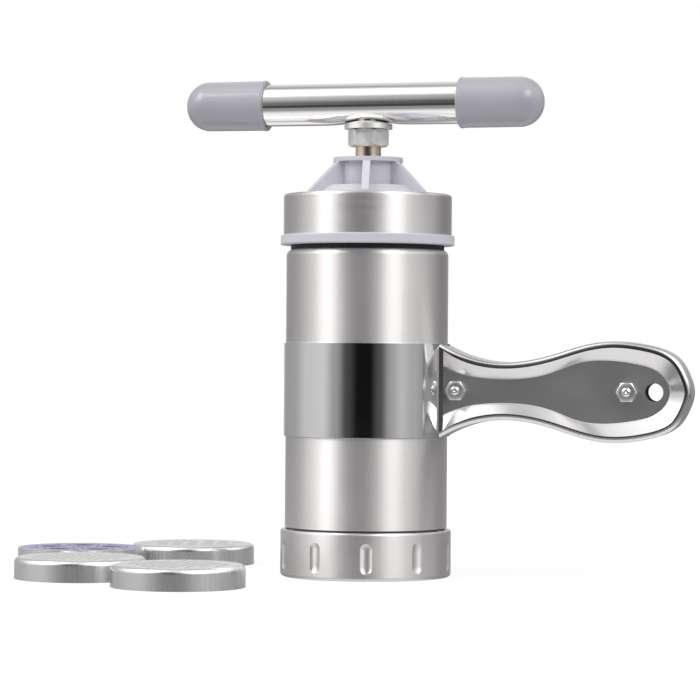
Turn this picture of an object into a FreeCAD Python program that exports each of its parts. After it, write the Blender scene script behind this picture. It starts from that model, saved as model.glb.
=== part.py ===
import FreeCAD, Part
import math
import os

import Sketcher

# A hand cranked noodle press, in millimetres.
# The origin is on the barrel's axis at the plane that the base cap stands on, with Z up.
# The side handle points along +X. The press is shown wound right down, as in its picture.

SIZES = {
    # Base cap, the threaded cap that holds the die and that the press stands on
    "base_step": 1.8,
    "base_height": 19.7,
    "base_sheet": 1.0,
    "base_corner": 1.5,
    "base_top_round": 0.9,
    "base_lip": 1.2,
    "window_ledge": 0.5,
    "dimple_count": 10,
    "dimple_angle": -79.0,
    "dimple_width": 5.2,
    "dimple_tall_share": 0.64,
    "dimple_middle_share": 0.47,
    "dimple_depth": 0.8,
    "dimple_wall": 0.6,
    # Barrel, a steel tube over a moulded liner with a threaded neck at each end
    "base_gap": 0.9,
    "barrel_radius": 34.0,
    "barrel_length": 116.1,
    "barrel_sheet": 0.8,
    "shoulder_round": 2.6,
    "shoulder_lip": 3.3,
    "neck_inset": 5.0,
    "liner_wall": 4.0,
    "neck_length": 18.8,
    # Threads, each given as the tooth's depth and its widths at the root and at the crest
    "tooth_depth": 1.2,
    "tooth_root": 1.4,
    "tooth_crest": 0.7,
    "tooth_sunk": 0.3,
    "thread_gap": 0.4,
    "cap_pitch": 4.0,
    "cap_turns": 2.5,
    "cap_mate_turns": 2.0,
    "base_pitch": 3.0,
    "base_turns": 1.4,
    "base_mate_turns": 1.0,
    # Top cap
    "seal_thick": 1.9,
    "seal_wide": 1.6,
    "flange_step": 2.5,
    "flange_thick": 4.2,
    "flange_round": 0.5,
    "ring_step": 1.3,
    "ring_height": 17.2,
    "ring_sheet": 0.7,
    "ring_round": 1.4,
    "ring_lip_gap": 0.6,
    "cap_roof": 4.2,
    "dome_inset": 11.3,
    "dome_height": 3.6,
    "dome_slope": 5.4,
    "hub_wall": 4.2,
    "hub_height": 15.4,
    "hub_plate_step": 2.4,
    "hub_plate_thick": 1.9,
    "rib_count": 6,
    "rib_thick": 3.2,
    "rib_inset": 7.7,
    "rib_foot": 1.0,
    "rib_sunk": 1.0,
    "rib_angle": -82.0,
    # Screw and its bush
    "screw_radius": 5.4,
    "screw_tooth": 1.1,
    "screw_root": 2.2,
    "screw_crest": 1.0,
    "screw_pitch": 4.0,
    "screw_gap": 4.7,
    "shank_gap": 0.4,
    "bush_wall": 2.6,
    "bush_flange_step": 3.0,
    "bush_flange_thick": 3.0,
    "bush_root": 1.4,
    "bush_crest": 0.7,
    "bush_clear": 0.25,
    # Piston
    "piston_clear": 0.3,
    "piston_lift": 1.6,
    "plate_thick": 1.5,
    "plate_inset": 0.6,
    "disc_thick": 12.0,
    "seal_groove": 3.6,
    "seal_groove_depth": 2.0,
    "seal_proud": 0.1,
    "collar_step": 2.6,
    "collar_thick": 3.4,
    "cover_step": 6.5,
    "cover_thick": 2.0,
    "cover_screw_count": 3,
    "cover_screw_turn": 30.0,
    "cover_screw_step": 3.4,
    "cover_screw_radius": 1.4,
    "cover_head_radius": 2.5,
    "cover_head_thick": 1.5,
    "cover_screw_length": 8.0,
    # Crank
    "crank_rest_angle": -5.0,
    "nut_flats": 15.3,
    "nut_height": 7.4,
    "nut_turn": -4.0,
    "washer_step": 2.45,
    "washer_thick": 2.1,
    "washer_crown": 1.1,
    "washer_seat_step": 1.0,
    "tube_radius": 8.8,
    "tube_wall": 1.2,
    "tube_dent": 2.0,
    "tube_seat": 0.5,
    "tube_dent_reach": 23.0,
    "tube_dent_bulge": 0.4,
    "crank_left": 79.9,
    "crank_right": 75.3,
    "end_cap_wall": 1.9,
    "end_cap_length": 35.5,
    "end_cap_tip_flat": 0.4,
    "end_cap_sink": 23.0,
    "end_cap_draft": 0.3,
    "end_cap_mouth": 0.7,
    "insert_length": 26.0,
    # Clamp band, handle shells and what bolts them together
    "band_height": 38.8,
    "band_share": 0.4955,
    "band_sheet": 0.8,
    "tab_step": 12.0,
    "tab_tall": 13.0,
    "handle_reach": 102.8,
    "handle_depth": 12.0,
    "handle_sheet": 1.0,
    "handle_edge": 2.0,
    "lip_wide": 2.7,
    "web_drop": 3.5,
    "root_lip": 1.8,
    "near_bolt_step": 5.3,
    "far_bolt_back": 26.5,
    "bolt_radius": 2.0,
    "bolt_head_radius": 4.2,
    "bolt_head_thick": 2.4,
    "bolt_past_nut": 1.8,
    "bolt_head_round": 1.9,
    "bolt_end_round": 1.4,
    "small_nut_flats": 7.6,
    "small_nut_thick": 3.0,
    "spacer_wall": 1.5,
    "hang_hole_back": 15.4,
    "hang_hole_radius": 3.75,
    # Dies
    "die_inset": 2.0,
    "die_height": 9.0,
    "die_sheet": 0.9,
    "die_edge": 2.2,
    "die_clear": 0.3,
    "gasket_thick": 1.2,
    "gasket_wide": 3.2,
    "seat_clear": 0.05,
    "slot_length": 5.4,
    "slot_width": 1.3,
    "large_hole_radius": 1.6,
    "small_hole_radius": 1.0,
    "grid_hole_radius": 1.15,
    "tube_count": 5,
    "tube_groove": 0.9,
    "tube_groove_depth": 1.6,
    "tube_recess_depth": 4.6,
    "window_spread": 50.0,
    # Steps and places on a die's face, as shares of its radius
    "slot_row_share": 0.2,
    "slot_share": 0.304,
    "large_ring_share": 0.248,
    "small_row_share": 0.124,
    "small_share": 0.248,
    "grid_share": 0.172,
    "tube_ring_share": 0.515,
    "tube_outer_share": 0.259,
    "tube_recess_share": 0.170,
    "tube_bore_share": 0.0815,
    "centre_outer_share": 0.156,
    "centre_bore_share": 0.070,
    "window_share": 0.726,
    "window_side_share": 0.128,
    "window_inner_share": 0.102,
}

# The handle's outline and its sunken web, from root to tip: each place as a share of the handle's reach
# from the barrel, and the half height there as a share of the band's height
HANDLE_STATIONS = ((-0.039, 0.557), (0.124, 0.353), (0.243, 0.309), (0.437, 0.387), (0.590, 0.508),
                   (0.691, 0.539), (0.812, 0.505), (0.888, 0.448), (0.940, 0.361), (0.981, 0.189))
WEB_STATIONS = ((0.071, 0.183), (0.165, 0.137), (0.253, 0.126), (0.360, 0.147), (0.447, 0.206),
                (0.545, 0.304), (0.652, 0.335), (0.791, 0.291), (0.846, 0.247), (0.891, 0.155))
WEB_ROOT_SHARE = 0.258
WEB_TIP_GAP = 9.0
# How much steeper the rim falls right at its root than over the first stretch between stations
ROOT_STEEPER = 1.3

# Where the loose dies lie beside the press, in radii of a die and in a plan of their own,
# and how far each is turned
DIE_PLACES = {
    "die_slots": (-2.811, 2.415, 37.0),
    "die_small_holes": (-4.356, -0.926, -7.7),
    "die_medium_holes": (-2.778, -2.415, -18.8),
    "die_tubes_cup": (-4.537, 1.211, 0.0),
}
# The turn of that plan about the barrel's axis
PLAN_TURN = 11.0

# Rows of the hole patterns: each row of slots as its place, its number and its shift along the row,
# and each other row or ring as its number of holes
SLOT_ROWS = ((-3.5, 2, 0.25), (-2.5, 3, -0.25), (-1.5, 5, -0.25), (-0.5, 5, 0.25),
             (0.5, 5, -0.25), (1.5, 5, 0.25), (2.5, 3, -0.25), (3.5, 2, 0.25))
SMALL_ROWS = (4, 5, 6, 5, 6, 5, 6, 5, 6, 5, 4)
GRID_ROWS = (3, 5, 7, 9, 9, 9, 7, 5, 3)
LARGE_RINGS = (1, 6, 12, 18)
FULL_TURN = 360.0
# The direction of the first tube of the insert
FIRST_TUBE = 90.0


class Size:
    """A length that knows both its number and the expression that gives it."""

    def __init__(self, value, text):
        self.value = value
        self.text = text

    def join(self, other, sign, value):
        if not isinstance(other, Size):
            other = Size(other, repr(float(other)))
        return Size(value(self.value, other.value), "(" + self.text + " " + sign + " " + other.text + ")")

    def __add__(self, other):
        return self.join(other, "+", lambda a, b: a + b)

    def __sub__(self, other):
        return self.join(other, "-", lambda a, b: a - b)

    def __mul__(self, other):
        return self.join(other, "*", lambda a, b: a * b)

    def __truediv__(self, other):
        return self.join(other, "/", lambda a, b: a / b)

    def __neg__(self):
        return Size(-self.value, "(0 - " + self.text + ")")

    def round_up(self):
        return Size(float(math.ceil(self.value)), "ceil(" + self.text + ")")


class Sheet:
    """The spreadsheet of driving sizes. Each size is read as an attribute."""

    def __init__(self, doc):
        page = doc.addObject("Spreadsheet::Sheet", "Sizes")
        for row, (name, number) in enumerate(SIZES.items(), start=1):
            cell = "A" + str(row)
            page.set(cell, str(number))
            page.setAlias(cell, name)
            setattr(self, name, Size(float(number), "Sizes." + name))
        doc.recompute()


doc = FreeCAD.newDocument("noodle_press")
S = Sheet(doc)
ZERO = Size(0.0, "0")
UP = FreeCAD.Vector(0, 0, 1)
ACROSS = FreeCAD.Vector(1, 0, 0)
DEEP = FreeCAD.Vector(0, 1, 0)
PARTS = []

# Radii that several pieces share, all worked out from the barrel's or the screw's
base_radius = S.barrel_radius + S.base_step
flange_radius = S.barrel_radius + S.flange_step
ring_radius = S.barrel_radius + S.ring_step
band_radius = S.barrel_radius + S.band_sheet
neck_radius = S.barrel_radius - S.neck_inset
neck_crest = neck_radius + S.tooth_depth
cap_bore = neck_crest + S.thread_gap
bore_radius = neck_radius - S.liner_wall
piston_radius = bore_radius - S.piston_clear
die_radius = neck_radius - S.die_inset
die_window = bore_radius - S.window_ledge
dome_radius = ring_radius - S.dome_inset
rib_reach = ring_radius - S.rib_inset
screw_core = S.screw_radius - S.screw_tooth
bush_bore = S.screw_radius + S.bush_clear
bush_radius = S.screw_radius + S.bush_wall
bush_flange = bush_radius + S.bush_flange_step
hub_radius = bush_radius + S.hub_wall
hub_plate_radius = hub_radius + S.hub_plate_step
collar_radius = S.screw_radius + S.collar_step
cover_radius = collar_radius + S.cover_step
cover_screw_circle = collar_radius + S.cover_screw_step
washer_radius = S.nut_flats / 2 + S.washer_step
end_cap_radius = S.tube_radius + S.end_cap_wall

# Heights that several pieces share
barrel_bottom = S.base_height + S.base_gap
barrel_top = barrel_bottom + S.barrel_length
band_middle = barrel_bottom + S.barrel_length * S.band_share
flange_bottom = barrel_top + S.seal_thick
flange_top = flange_bottom + S.flange_thick
ring_top = flange_top + S.ring_height
roof_under = ring_top - S.cap_roof
neck_top = barrel_top + S.neck_length
gasket_bottom = S.base_sheet + S.die_height
neck_bottom = gasket_bottom + S.gasket_thick
hub_top = ring_top + S.hub_height
shank_bottom = hub_top + S.shank_gap
nut_bottom = hub_top + S.screw_gap
nut_top = nut_bottom + S.nut_height
washer_top = nut_top + S.washer_thick + S.washer_crown
crank_axis = washer_top + S.tube_seat - S.tube_dent + S.tube_radius
piston_rest = neck_bottom + S.piston_lift
cover_bottom = piston_rest + S.plate_thick + S.disc_thick
cover_top = cover_bottom + S.cover_thick
collar_bottom = cover_bottom - S.collar_thick
collar_top = cover_bottom - S.seat_clear

# Places along the handle
handle_tip = S.barrel_radius + S.handle_reach
near_bolt = S.barrel_radius + S.near_bolt_step
far_bolt = handle_tip - S.far_bolt_back
hang_hole_place = handle_tip - S.hang_hole_back
tab_reach = S.barrel_radius + S.tab_step
web_inner = S.handle_depth - S.web_drop - S.handle_sheet
web_outer = S.handle_depth - S.web_drop

# The screw's thread is worked out downwards from its plain shank
screw_turns = ((shank_bottom - cover_top - S.screw_root * 2) / S.screw_pitch).round_up() - 1
screw_start = shank_bottom - S.screw_root - S.screw_pitch * screw_turns


def keep(item, label):
    """Give a finished sub-part its label and put it on the list of files to write."""
    item.Label = label
    PARTS.append(item)
    return item


def bind(item, name, size):
    """Set a property from a size and tie it to the size's expression."""
    setattr(item, name, size.value)
    item.setExpression(name, size.text)


def origin_plane(body, role):
    return [plane for plane in body.Origin.OriginFeatures if plane.Role == role][0]


def add_profile(body, name, corners, role="XZ_Plane"):
    """A closed sketch of straight lines whose corners are all tied to sizes."""
    sketch = body.newObject("Sketcher::SketchObject", name)
    sketch.AttachmentSupport = [(origin_plane(body, role), "")]
    sketch.MapMode = "FlatFace"
    count = len(corners)
    for i in range(count):
        ax, ay = corners[i]
        bx, by = corners[(i + 1) % count]
        line = Part.LineSegment(FreeCAD.Vector(ax.value, ay.value, 0), FreeCAD.Vector(bx.value, by.value, 0))
        sketch.addGeometry(line, False)
    for i in range(count):
        sketch.addConstraint(Sketcher.Constraint("Coincident", i, 2, (i + 1) % count, 1))
    for i in range(count):
        for kind, size, axis in (("DistanceX", corners[i][0], -2), ("DistanceY", corners[i][1], -1)):
            if size is ZERO:
                sketch.addConstraint(Sketcher.Constraint("PointOnObject", i, 1, axis))
                continue
            index = sketch.addConstraint(Sketcher.Constraint(kind, -1, 1, i, 1, size.value))
            sketch.setExpression("Constraints[" + str(index) + "]", size.text)
    return sketch


def turned(name, corners):
    """A body turned from a profile of radii and heights."""
    body = doc.addObject("PartDesign::Body", name)
    sketch = add_profile(body, name + "_profile", corners)
    turn = body.newObject("PartDesign::Revolution", name + "_turn")
    turn.Profile = sketch
    turn.ReferenceAxis = (sketch, ["V_Axis"])
    turn.Angle = FULL_TURN
    doc.recompute()
    return body


def round_rims(body, rims, size, feature="PartDesign::Fillet"):
    """Round or bevel the circular edges at the given radii and heights."""
    doc.recompute()
    tip = body.Tip
    names = []
    for index, edge in enumerate(tip.Shape.Edges, start=1):
        box = edge.BoundBox
        if box.ZMax - box.ZMin > 0.01 or not isinstance(edge.Curve, Part.Circle):
            continue
        for radius, height in rims:
            same_radius = abs(edge.Curve.Radius - radius.value) < 0.01
            if same_radius and abs(box.ZMin - height.value) < 0.01:
                names.append("Edge" + str(index))
    if len(names) != len(rims):
        raise RuntimeError(body.Name + ": found " + str(len(names)) + " rims of " + str(len(rims)))
    item = body.newObject(feature, body.Name + "_round" + str(len(body.Group)))
    item.Base = (tip, names)
    bind(item, "Radius" if feature == "PartDesign::Fillet" else "Size", size)
    doc.recompute()
    return item


def add_thread(body, name, corners, pitch, height):
    """A helical tooth added to a body, from its section and its pitch."""
    doc.recompute()
    sketch = add_profile(body, name + "_tooth", corners)
    helix = body.newObject("PartDesign::AdditiveHelix", name)
    helix.Profile = sketch
    helix.ReferenceAxis = (sketch, ["V_Axis"])
    helix.Mode = 0
    bind(helix, "Pitch", pitch)
    bind(helix, "Height", height)
    doc.recompute()


def outer_tooth(core, start, depth, root, crest):
    """The section of a tooth that stands out from a core."""
    return [(core - S.tooth_sunk, start - root / 2), (core + depth, start - crest / 2),
            (core + depth, start + crest / 2), (core - S.tooth_sunk, start + root / 2)]


def inner_tooth(bore, start, depth, root, crest):
    """The section of a tooth that stands in from a bore."""
    return [(bore + S.tooth_sunk, start - root / 2), (bore + S.tooth_sunk, start + root / 2),
            (bore - depth, start + crest / 2), (bore - depth, start - crest / 2)]


def feature(name, shape):
    """A sub-part whose shape the functions below work out from the sizes."""
    item = doc.addObject("Part::Feature", name)
    item.Shape = shape
    return item


def boolean(kind, name, base, tool):
    item = doc.addObject(kind, name)
    item.Base = base
    item.Tool = tool
    doc.recompute()
    return item


def rod(name, radius, length):
    item = doc.addObject("Part::Cylinder", name)
    bind(item, "Radius", radius)
    bind(item, "Height", length)
    return item


def place(item, x, y, z, turn=None):
    """Put a primitive at a point, tied to its sizes, with an optional turn."""
    spot = FreeCAD.Vector(x.value, y.value, z.value)
    item.Placement = FreeCAD.Placement(spot, turn or FreeCAD.Rotation())
    for axis, size in (("x", x), ("y", y), ("z", z)):
        item.setExpression("Placement.Base." + axis, size.text)
    return item


def group(name, items):
    item = doc.addObject("Part::Compound", name)
    item.Links = items
    return item


# Barrel

def barrel_shell():
    inner = S.barrel_radius - S.barrel_sheet
    lip = S.barrel_radius - S.shoulder_lip
    body = turned("barrel_shell", [
        (S.barrel_radius, barrel_bottom), (S.barrel_radius, barrel_top), (lip, barrel_top),
        (lip, barrel_top - S.barrel_sheet), (inner, barrel_top - S.barrel_sheet), (inner, barrel_bottom)])
    round_rims(body, [(S.barrel_radius, barrel_top)], S.shoulder_round)
    round_rims(body, [(inner, barrel_top - S.barrel_sheet)], S.shoulder_round - S.barrel_sheet)
    return keep(body, "barrel_shell")


def barrel_liner():
    outer = S.barrel_radius - S.barrel_sheet - S.seat_clear
    under_lip = barrel_top - S.barrel_sheet - S.seat_clear
    body = turned("barrel_liner", [
        (bore_radius, neck_bottom), (neck_radius, neck_bottom), (neck_radius, barrel_bottom),
        (outer, barrel_bottom), (outer, under_lip), (neck_radius, under_lip),
        (neck_radius, neck_top), (bore_radius, neck_top)])
    round_rims(body, [(outer, under_lip)], S.shoulder_round)
    top = neck_top - S.tooth_root - S.cap_pitch * S.cap_turns
    add_thread(body, "top_thread", outer_tooth(neck_radius, top, S.tooth_depth, S.tooth_root, S.tooth_crest),
               S.cap_pitch, S.cap_pitch * S.cap_turns)
    add_thread(body, "base_thread",
               outer_tooth(neck_radius, neck_bottom + S.tooth_root, S.tooth_depth, S.tooth_root, S.tooth_crest),
               S.base_pitch, S.base_pitch * S.base_turns)
    return keep(body, "barrel_liner")


# Clamp band and handle

def clamp_band():
    """A strap round the barrel whose two ends turn out between the handle's shells."""
    low = band_middle.value - S.band_height.value / 2
    ring = Part.makeCylinder(band_radius.value, S.band_height.value, FreeCAD.Vector(0, 0, low), UP)
    ring = ring.cut(Part.makeCylinder(S.barrel_radius.value, S.band_height.value, FreeCAD.Vector(0, 0, low), UP))
    gap = 2 * (web_inner.value - S.band_sheet.value)
    ring = ring.cut(Part.makeBox(band_radius.value + 1, gap, S.band_height.value,
                                 FreeCAD.Vector(0, -gap / 2, low)))
    start = math.sqrt(S.barrel_radius.value ** 2 - (web_inner.value - S.band_sheet.value) ** 2)
    for side in (-1, 1):
        edge = min(side * web_inner.value, side * (web_inner.value - S.band_sheet.value))
        corner = FreeCAD.Vector(start, edge, band_middle.value - S.tab_tall.value / 2)
        tab = Part.makeBox(tab_reach.value - start, S.band_sheet.value, S.tab_tall.value, corner)
        tab = tab.cut(Part.makeCylinder(S.barrel_radius.value, S.band_height.value, FreeCAD.Vector(0, 0, low), UP))
        ring = ring.fuse(tab)
    bolt = Part.makeCylinder(S.bolt_radius.value + S.seat_clear.value, 4 * S.handle_depth.value,
                             FreeCAD.Vector(near_bolt.value, -2 * S.handle_depth.value, band_middle.value), DEEP)
    return keep(feature("clamp_band", ring.cut(bolt).removeSplitter()), "clamp_band")


def stations(table):
    """A table of shares turned into places along X and half heights."""
    reach = S.handle_reach.value
    tall = S.band_height.value
    return [(S.barrel_radius.value + place_share * reach, half_share * tall) for place_share, half_share in table]


def handle_outline(spots, root, root_half, tip, grow, depth):
    """A closed wire, one smooth curve round the tip and a straight line at the root.

    The curve is moved square to itself by grow.
    """
    middle = band_middle.value
    upper = [FreeCAD.Vector(root, depth, middle + root_half)]
    upper += [FreeCAD.Vector(x, depth, middle + half) for x, half in spots if x > root + S.handle_edge.value]
    lower = [FreeCAD.Vector(p.x, p.y, 2 * middle - p.z) for p in reversed(upper)]
    points = upper + [FreeCAD.Vector(tip, depth, middle)] + lower
    curve = Part.BSplineCurve()
    curve.interpolate(points)
    moved = []
    for point in points:
        way = curve.tangent(curve.parameter(point))[0]
        moved.append(point + FreeCAD.Vector(-way.z, 0, way.x) * grow)
    moved[0].x = root
    moved[-1].x = root
    curve = Part.BSplineCurve()
    curve.interpolate(moved)
    closing = Part.LineSegment(moved[-1], moved[0])
    return Part.Wire([curve.toShape(), closing.toShape()])


def prism(wire, length):
    return Part.Face(wire).extrude(FreeCAD.Vector(0, length, 0))


def rim_outline(grow, depth):
    (root, half), *spots = stations(HANDLE_STATIONS)
    return handle_outline(spots, root, half, handle_tip.value, grow, depth)


def dish_outline(grow, depth, on_web):
    """The rim's inner edge or the web's edge, both closed just outside the band."""
    root = math.sqrt(band_radius.value ** 2 - S.handle_depth.value ** 2) + S.root_lip.value - grow
    if on_web:
        half = WEB_ROOT_SHARE * S.band_height.value
        return handle_outline(stations(WEB_STATIONS), root, half, handle_tip.value - WEB_TIP_GAP, grow, depth)
    (start, first), (after, second), *_ = stations(HANDLE_STATIONS)
    slope = ROOT_STEEPER * (first - second) / (after - start)
    root_half = first - slope * (root - start)
    lip = grow - S.lip_wide.value
    return handle_outline(stations(HANDLE_STATIONS)[1:], root, root_half, handle_tip.value, lip, depth)


def dish(grow, sink):
    """The tapered hollow pressed into a shell's face, from the rim down to the web."""
    top = dish_outline(grow, S.handle_depth.value, False)
    floor = dish_outline(grow, web_outer.value - sink, True)
    body = Part.makeLoft([floor, top], True, True)
    return body.fuse(prism(dish_outline(grow, S.handle_depth.value, False), 1.0))


def handle_shell(name, side):
    """One pressed shell: a rolled rim, a sloping flank and a flat web with its holes."""
    sheet = S.handle_sheet.value
    solid = prism(rim_outline(0, 0), S.handle_depth.value)
    rim = [edge for edge in solid.Edges
           if edge.BoundBox.YMin > S.handle_depth.value - 0.01 and edge.BoundBox.XMax > handle_tip.value - 1]
    solid = solid.makeFillet(S.handle_edge.value, rim)
    hollow = prism(rim_outline(-sheet, 0), S.handle_depth.value - sheet)
    hollow = hollow.cut(dish(sheet, sheet))
    solid = solid.cut(dish(0, 0)).cut(hollow)
    solid = solid.cut(Part.makeCylinder(band_radius.value, 3 * S.band_height.value, FreeCAD.Vector(0, 0, 0), UP))
    for x, radius in ((near_bolt, S.bolt_radius + S.seat_clear), (far_bolt, S.bolt_radius + S.seat_clear),
                      (hang_hole_place, S.hang_hole_radius)):
        spot = FreeCAD.Vector(x.value, -1, band_middle.value)
        solid = solid.cut(Part.makeCylinder(radius.value, 2 * S.handle_depth.value, spot, DEEP))
    if side < 0:
        solid = solid.mirror(FreeCAD.Vector(0, 0, 0), DEEP)
    if len(solid.Solids) == 1:
        solid = solid.Solids[0]
    return keep(feature(name, solid), name)


def handle_fasteners():
    """Two bolts through both shells, each with a spacer inside and a nut on the front."""
    along = FreeCAD.Rotation(ACROSS, 90)
    bolts = []
    nuts = []
    for name, x in (("near", near_bolt), ("far", far_bolt)):
        length = web_outer * 2 + S.small_nut_thick + S.bolt_past_nut
        shank = place(rod(name + "_shank", S.bolt_radius, length), x, web_outer, band_middle, along)
        head = place(rod(name + "_head", S.bolt_head_radius, S.bolt_head_thick),
                     x, web_outer + S.bolt_head_thick, band_middle, along)
        bolt = boolean("Part::Fuse", name + "_bolt", shank, head)
        rounded = doc.addObject("Part::Fillet", name + "_bolt_rounded")
        rounded.Base = bolt
        rounded.Edges = edges_at_y(bolt.Shape, ((S.bolt_head_radius, web_outer + S.bolt_head_thick, S.bolt_head_round),
                                                (S.bolt_radius, web_outer - length, S.bolt_end_round)))
        bolts.append(rounded)
        prism_nut = doc.addObject("Part::Prism", name + "_hexagon")
        prism_nut.Polygon = 6
        bind(prism_nut, "Circumradius", S.small_nut_flats / math.sqrt(3))
        bind(prism_nut, "Height", S.small_nut_thick)
        place(prism_nut, x, -web_outer, band_middle, along)
        hole = place(rod(name + "_nut_hole", S.bolt_radius + S.seat_clear, S.small_nut_thick),
                     x, -web_outer, band_middle, along)
        nuts.append(boolean("Part::Cut", name + "_nut", prism_nut, hole))
    keep(group("handle_bolts_group", bolts), "handle_bolts")
    keep(group("handle_nuts_group", nuts), "handle_nuts")
    spacer("clamp_spacer", near_bolt, web_inner - S.band_sheet)
    spacer("grip_spacer", far_bolt, web_inner)


def edges_at_y(shape, rims):
    """Edge numbers and radii for the rounds at circles of given radius and place along Y."""
    found = []
    for index, edge in enumerate(shape.Edges, start=1):
        box = edge.BoundBox
        if box.YMax - box.YMin > 0.01 or not isinstance(edge.Curve, Part.Circle):
            continue
        for radius, place_y, size in rims:
            if abs(edge.Curve.Radius - radius.value) < 0.01 and abs(box.YMin - place_y.value) < 0.01:
                found.append((index, size.value, size.value))
    return found


def spacer(name, x, half):
    along = FreeCAD.Rotation(ACROSS, 90)
    outside = place(rod(name + "_outside", S.bolt_radius + S.spacer_wall, half * 2), x, half, band_middle, along)
    inside = place(rod(name + "_inside", S.bolt_radius + S.seat_clear, half * 2), x, half, band_middle, along)
    return keep(boolean("Part::Cut", name + "_cut", outside, inside), name)


# Top cap

def neck_seal():
    inner = cap_bore
    body = turned("neck_seal", [(inner, barrel_top), (inner + S.seal_wide, barrel_top),
                                (inner + S.seal_wide, flange_bottom), (inner, flange_bottom)])
    return keep(body, "neck_seal")


def cap_hub():
    """The moulded cap: flange, threaded skirt, roof, low dome, hub and six ribs."""
    skirt = ring_radius - S.ring_sheet - S.seat_clear
    under_lip = ring_top - S.ring_sheet - S.seat_clear
    body = turned("cap_hub", [
        (cap_bore, flange_bottom), (flange_radius, flange_bottom), (flange_radius, flange_top),
        (skirt, flange_top), (skirt, under_lip), (dome_radius, under_lip),
        (dome_radius, ring_top), (dome_radius - S.dome_slope, ring_top + S.dome_height),
        (hub_radius, ring_top + S.dome_height), (hub_radius, hub_top - S.hub_plate_thick),
        (hub_plate_radius, hub_top - S.hub_plate_thick), (hub_plate_radius, hub_top),
        (bush_radius + S.seat_clear, hub_top), (bush_radius + S.seat_clear, roof_under),
        (cap_bore, roof_under)])
    round_rims(body, [(flange_radius, flange_bottom), (flange_radius, flange_top)], S.flange_round)
    foot = S.rib_foot + ring_top
    inside = hub_radius - S.rib_sunk
    base = under_lip - S.rib_sunk
    profile = add_profile(body, "rib_profile", [
        (inside, base), (rib_reach, base), (rib_reach, foot),
        (hub_plate_radius, hub_top - S.hub_plate_thick), (inside, hub_top - S.hub_plate_thick)])
    rib = body.newObject("PartDesign::Pad", "rib")
    rib.Profile = profile
    rib.Midplane = True
    bind(rib, "Length", S.rib_thick)
    doc.recompute()
    ribs = body.newObject("PartDesign::PolarPattern", "ribs")
    ribs.Originals = [rib]
    ribs.Axis = (profile, ["V_Axis"])
    ribs.Angle = FULL_TURN
    ribs.Occurrences = int(S.rib_count.value)
    ribs.setExpression("Occurrences", S.rib_count.text)
    body.Tip = ribs
    first = roof_under - S.cap_pitch * S.cap_turns - S.tooth_root
    top = neck_top - S.tooth_root - S.cap_pitch * S.cap_turns
    meshing = top + S.cap_pitch * (((first - top) / S.cap_pitch).round_up() - 0.5 + S.rib_angle / FULL_TURN)
    add_thread(body, "cap_thread", inner_tooth(cap_bore, meshing, S.tooth_depth, S.tooth_root, S.tooth_crest),
               S.cap_pitch, S.cap_pitch * S.cap_mate_turns)
    body.Placement = FreeCAD.Placement(FreeCAD.Vector(0, 0, 0), FreeCAD.Rotation(UP, S.rib_angle.value))
    return keep(body, "cap_hub")


def cap_ring():
    inner = ring_radius - S.ring_sheet
    lip = rib_reach + S.ring_lip_gap
    body = turned("cap_ring", [
        (ring_radius, flange_top), (ring_radius, ring_top), (lip, ring_top),
        (lip, ring_top - S.ring_sheet), (inner, ring_top - S.ring_sheet), (inner, flange_top)])
    round_rims(body, [(ring_radius, ring_top)], S.ring_round)
    return keep(body, "cap_ring")


def thread_bush():
    low = roof_under - S.bush_flange_thick
    body = turned("thread_bush", [
        (bush_bore, low), (bush_flange, low), (bush_flange, roof_under), (bush_radius, roof_under),
        (bush_radius, hub_top), (bush_bore, hub_top)])
    first = low + S.bush_root
    meshing = screw_start + S.screw_pitch * (((first - screw_start) / S.screw_pitch).round_up() + 0.5)
    turns = ((hub_top - meshing - S.bush_root) / S.screw_pitch).round_up() - 1
    add_thread(body, "bush_thread", inner_tooth(bush_bore, meshing, S.screw_tooth, S.bush_root, S.bush_crest),
               S.screw_pitch, S.screw_pitch * turns)
    return keep(body, "thread_bush")


# Screw and crank

def lead_screw():
    """A swivel collar, a threaded length and a plain head that enters the crank's tube."""
    top = crank_axis + S.tube_radius / 2
    body = turned("lead_screw", [
        (ZERO, collar_bottom), (collar_radius, collar_bottom), (collar_radius, collar_top),
        (screw_core, collar_top), (screw_core, shank_bottom), (S.screw_radius, shank_bottom),
        (S.screw_radius, top), (ZERO, top)])
    add_thread(body, "screw_thread",
               outer_tooth(screw_core, screw_start, S.screw_tooth, S.screw_root, S.screw_crest),
               S.screw_pitch, S.screw_pitch * screw_turns)
    return keep(body, "lead_screw")


def lock_nut():
    hexagon = doc.addObject("Part::Prism", "lock_nut_hexagon")
    hexagon.Polygon = 6
    bind(hexagon, "Circumradius", S.nut_flats / math.sqrt(3))
    bind(hexagon, "Height", S.nut_height)
    turn = FreeCAD.Rotation(UP, S.nut_turn.value)
    place(hexagon, ZERO, ZERO, nut_bottom, turn)
    bevel = doc.addObject("Part::Cone", "lock_nut_bevel")
    bind(bevel, "Radius1", S.nut_flats / 2 + S.nut_height)
    bind(bevel, "Radius2", S.nut_flats / 2)
    bind(bevel, "Height", S.nut_height)
    place(bevel, ZERO, ZERO, nut_bottom)
    beveled = boolean("Part::Common", "lock_nut_beveled", hexagon, bevel)
    hole = place(rod("lock_nut_hole", S.screw_radius + S.seat_clear, S.nut_height), ZERO, ZERO, nut_bottom)
    return keep(boolean("Part::Cut", "lock_nut_cut", beveled, hole), "lock_nut")


def seat_washer():
    hole = S.screw_radius + S.seat_clear
    rim = nut_top + S.washer_thick
    body = turned("seat_washer", [
        (hole, nut_top), (washer_radius, nut_top), (washer_radius, rim), (S.screw_radius + S.washer_seat_step, washer_top),
        (hole, washer_top)])
    return keep(body, "seat_washer")


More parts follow.
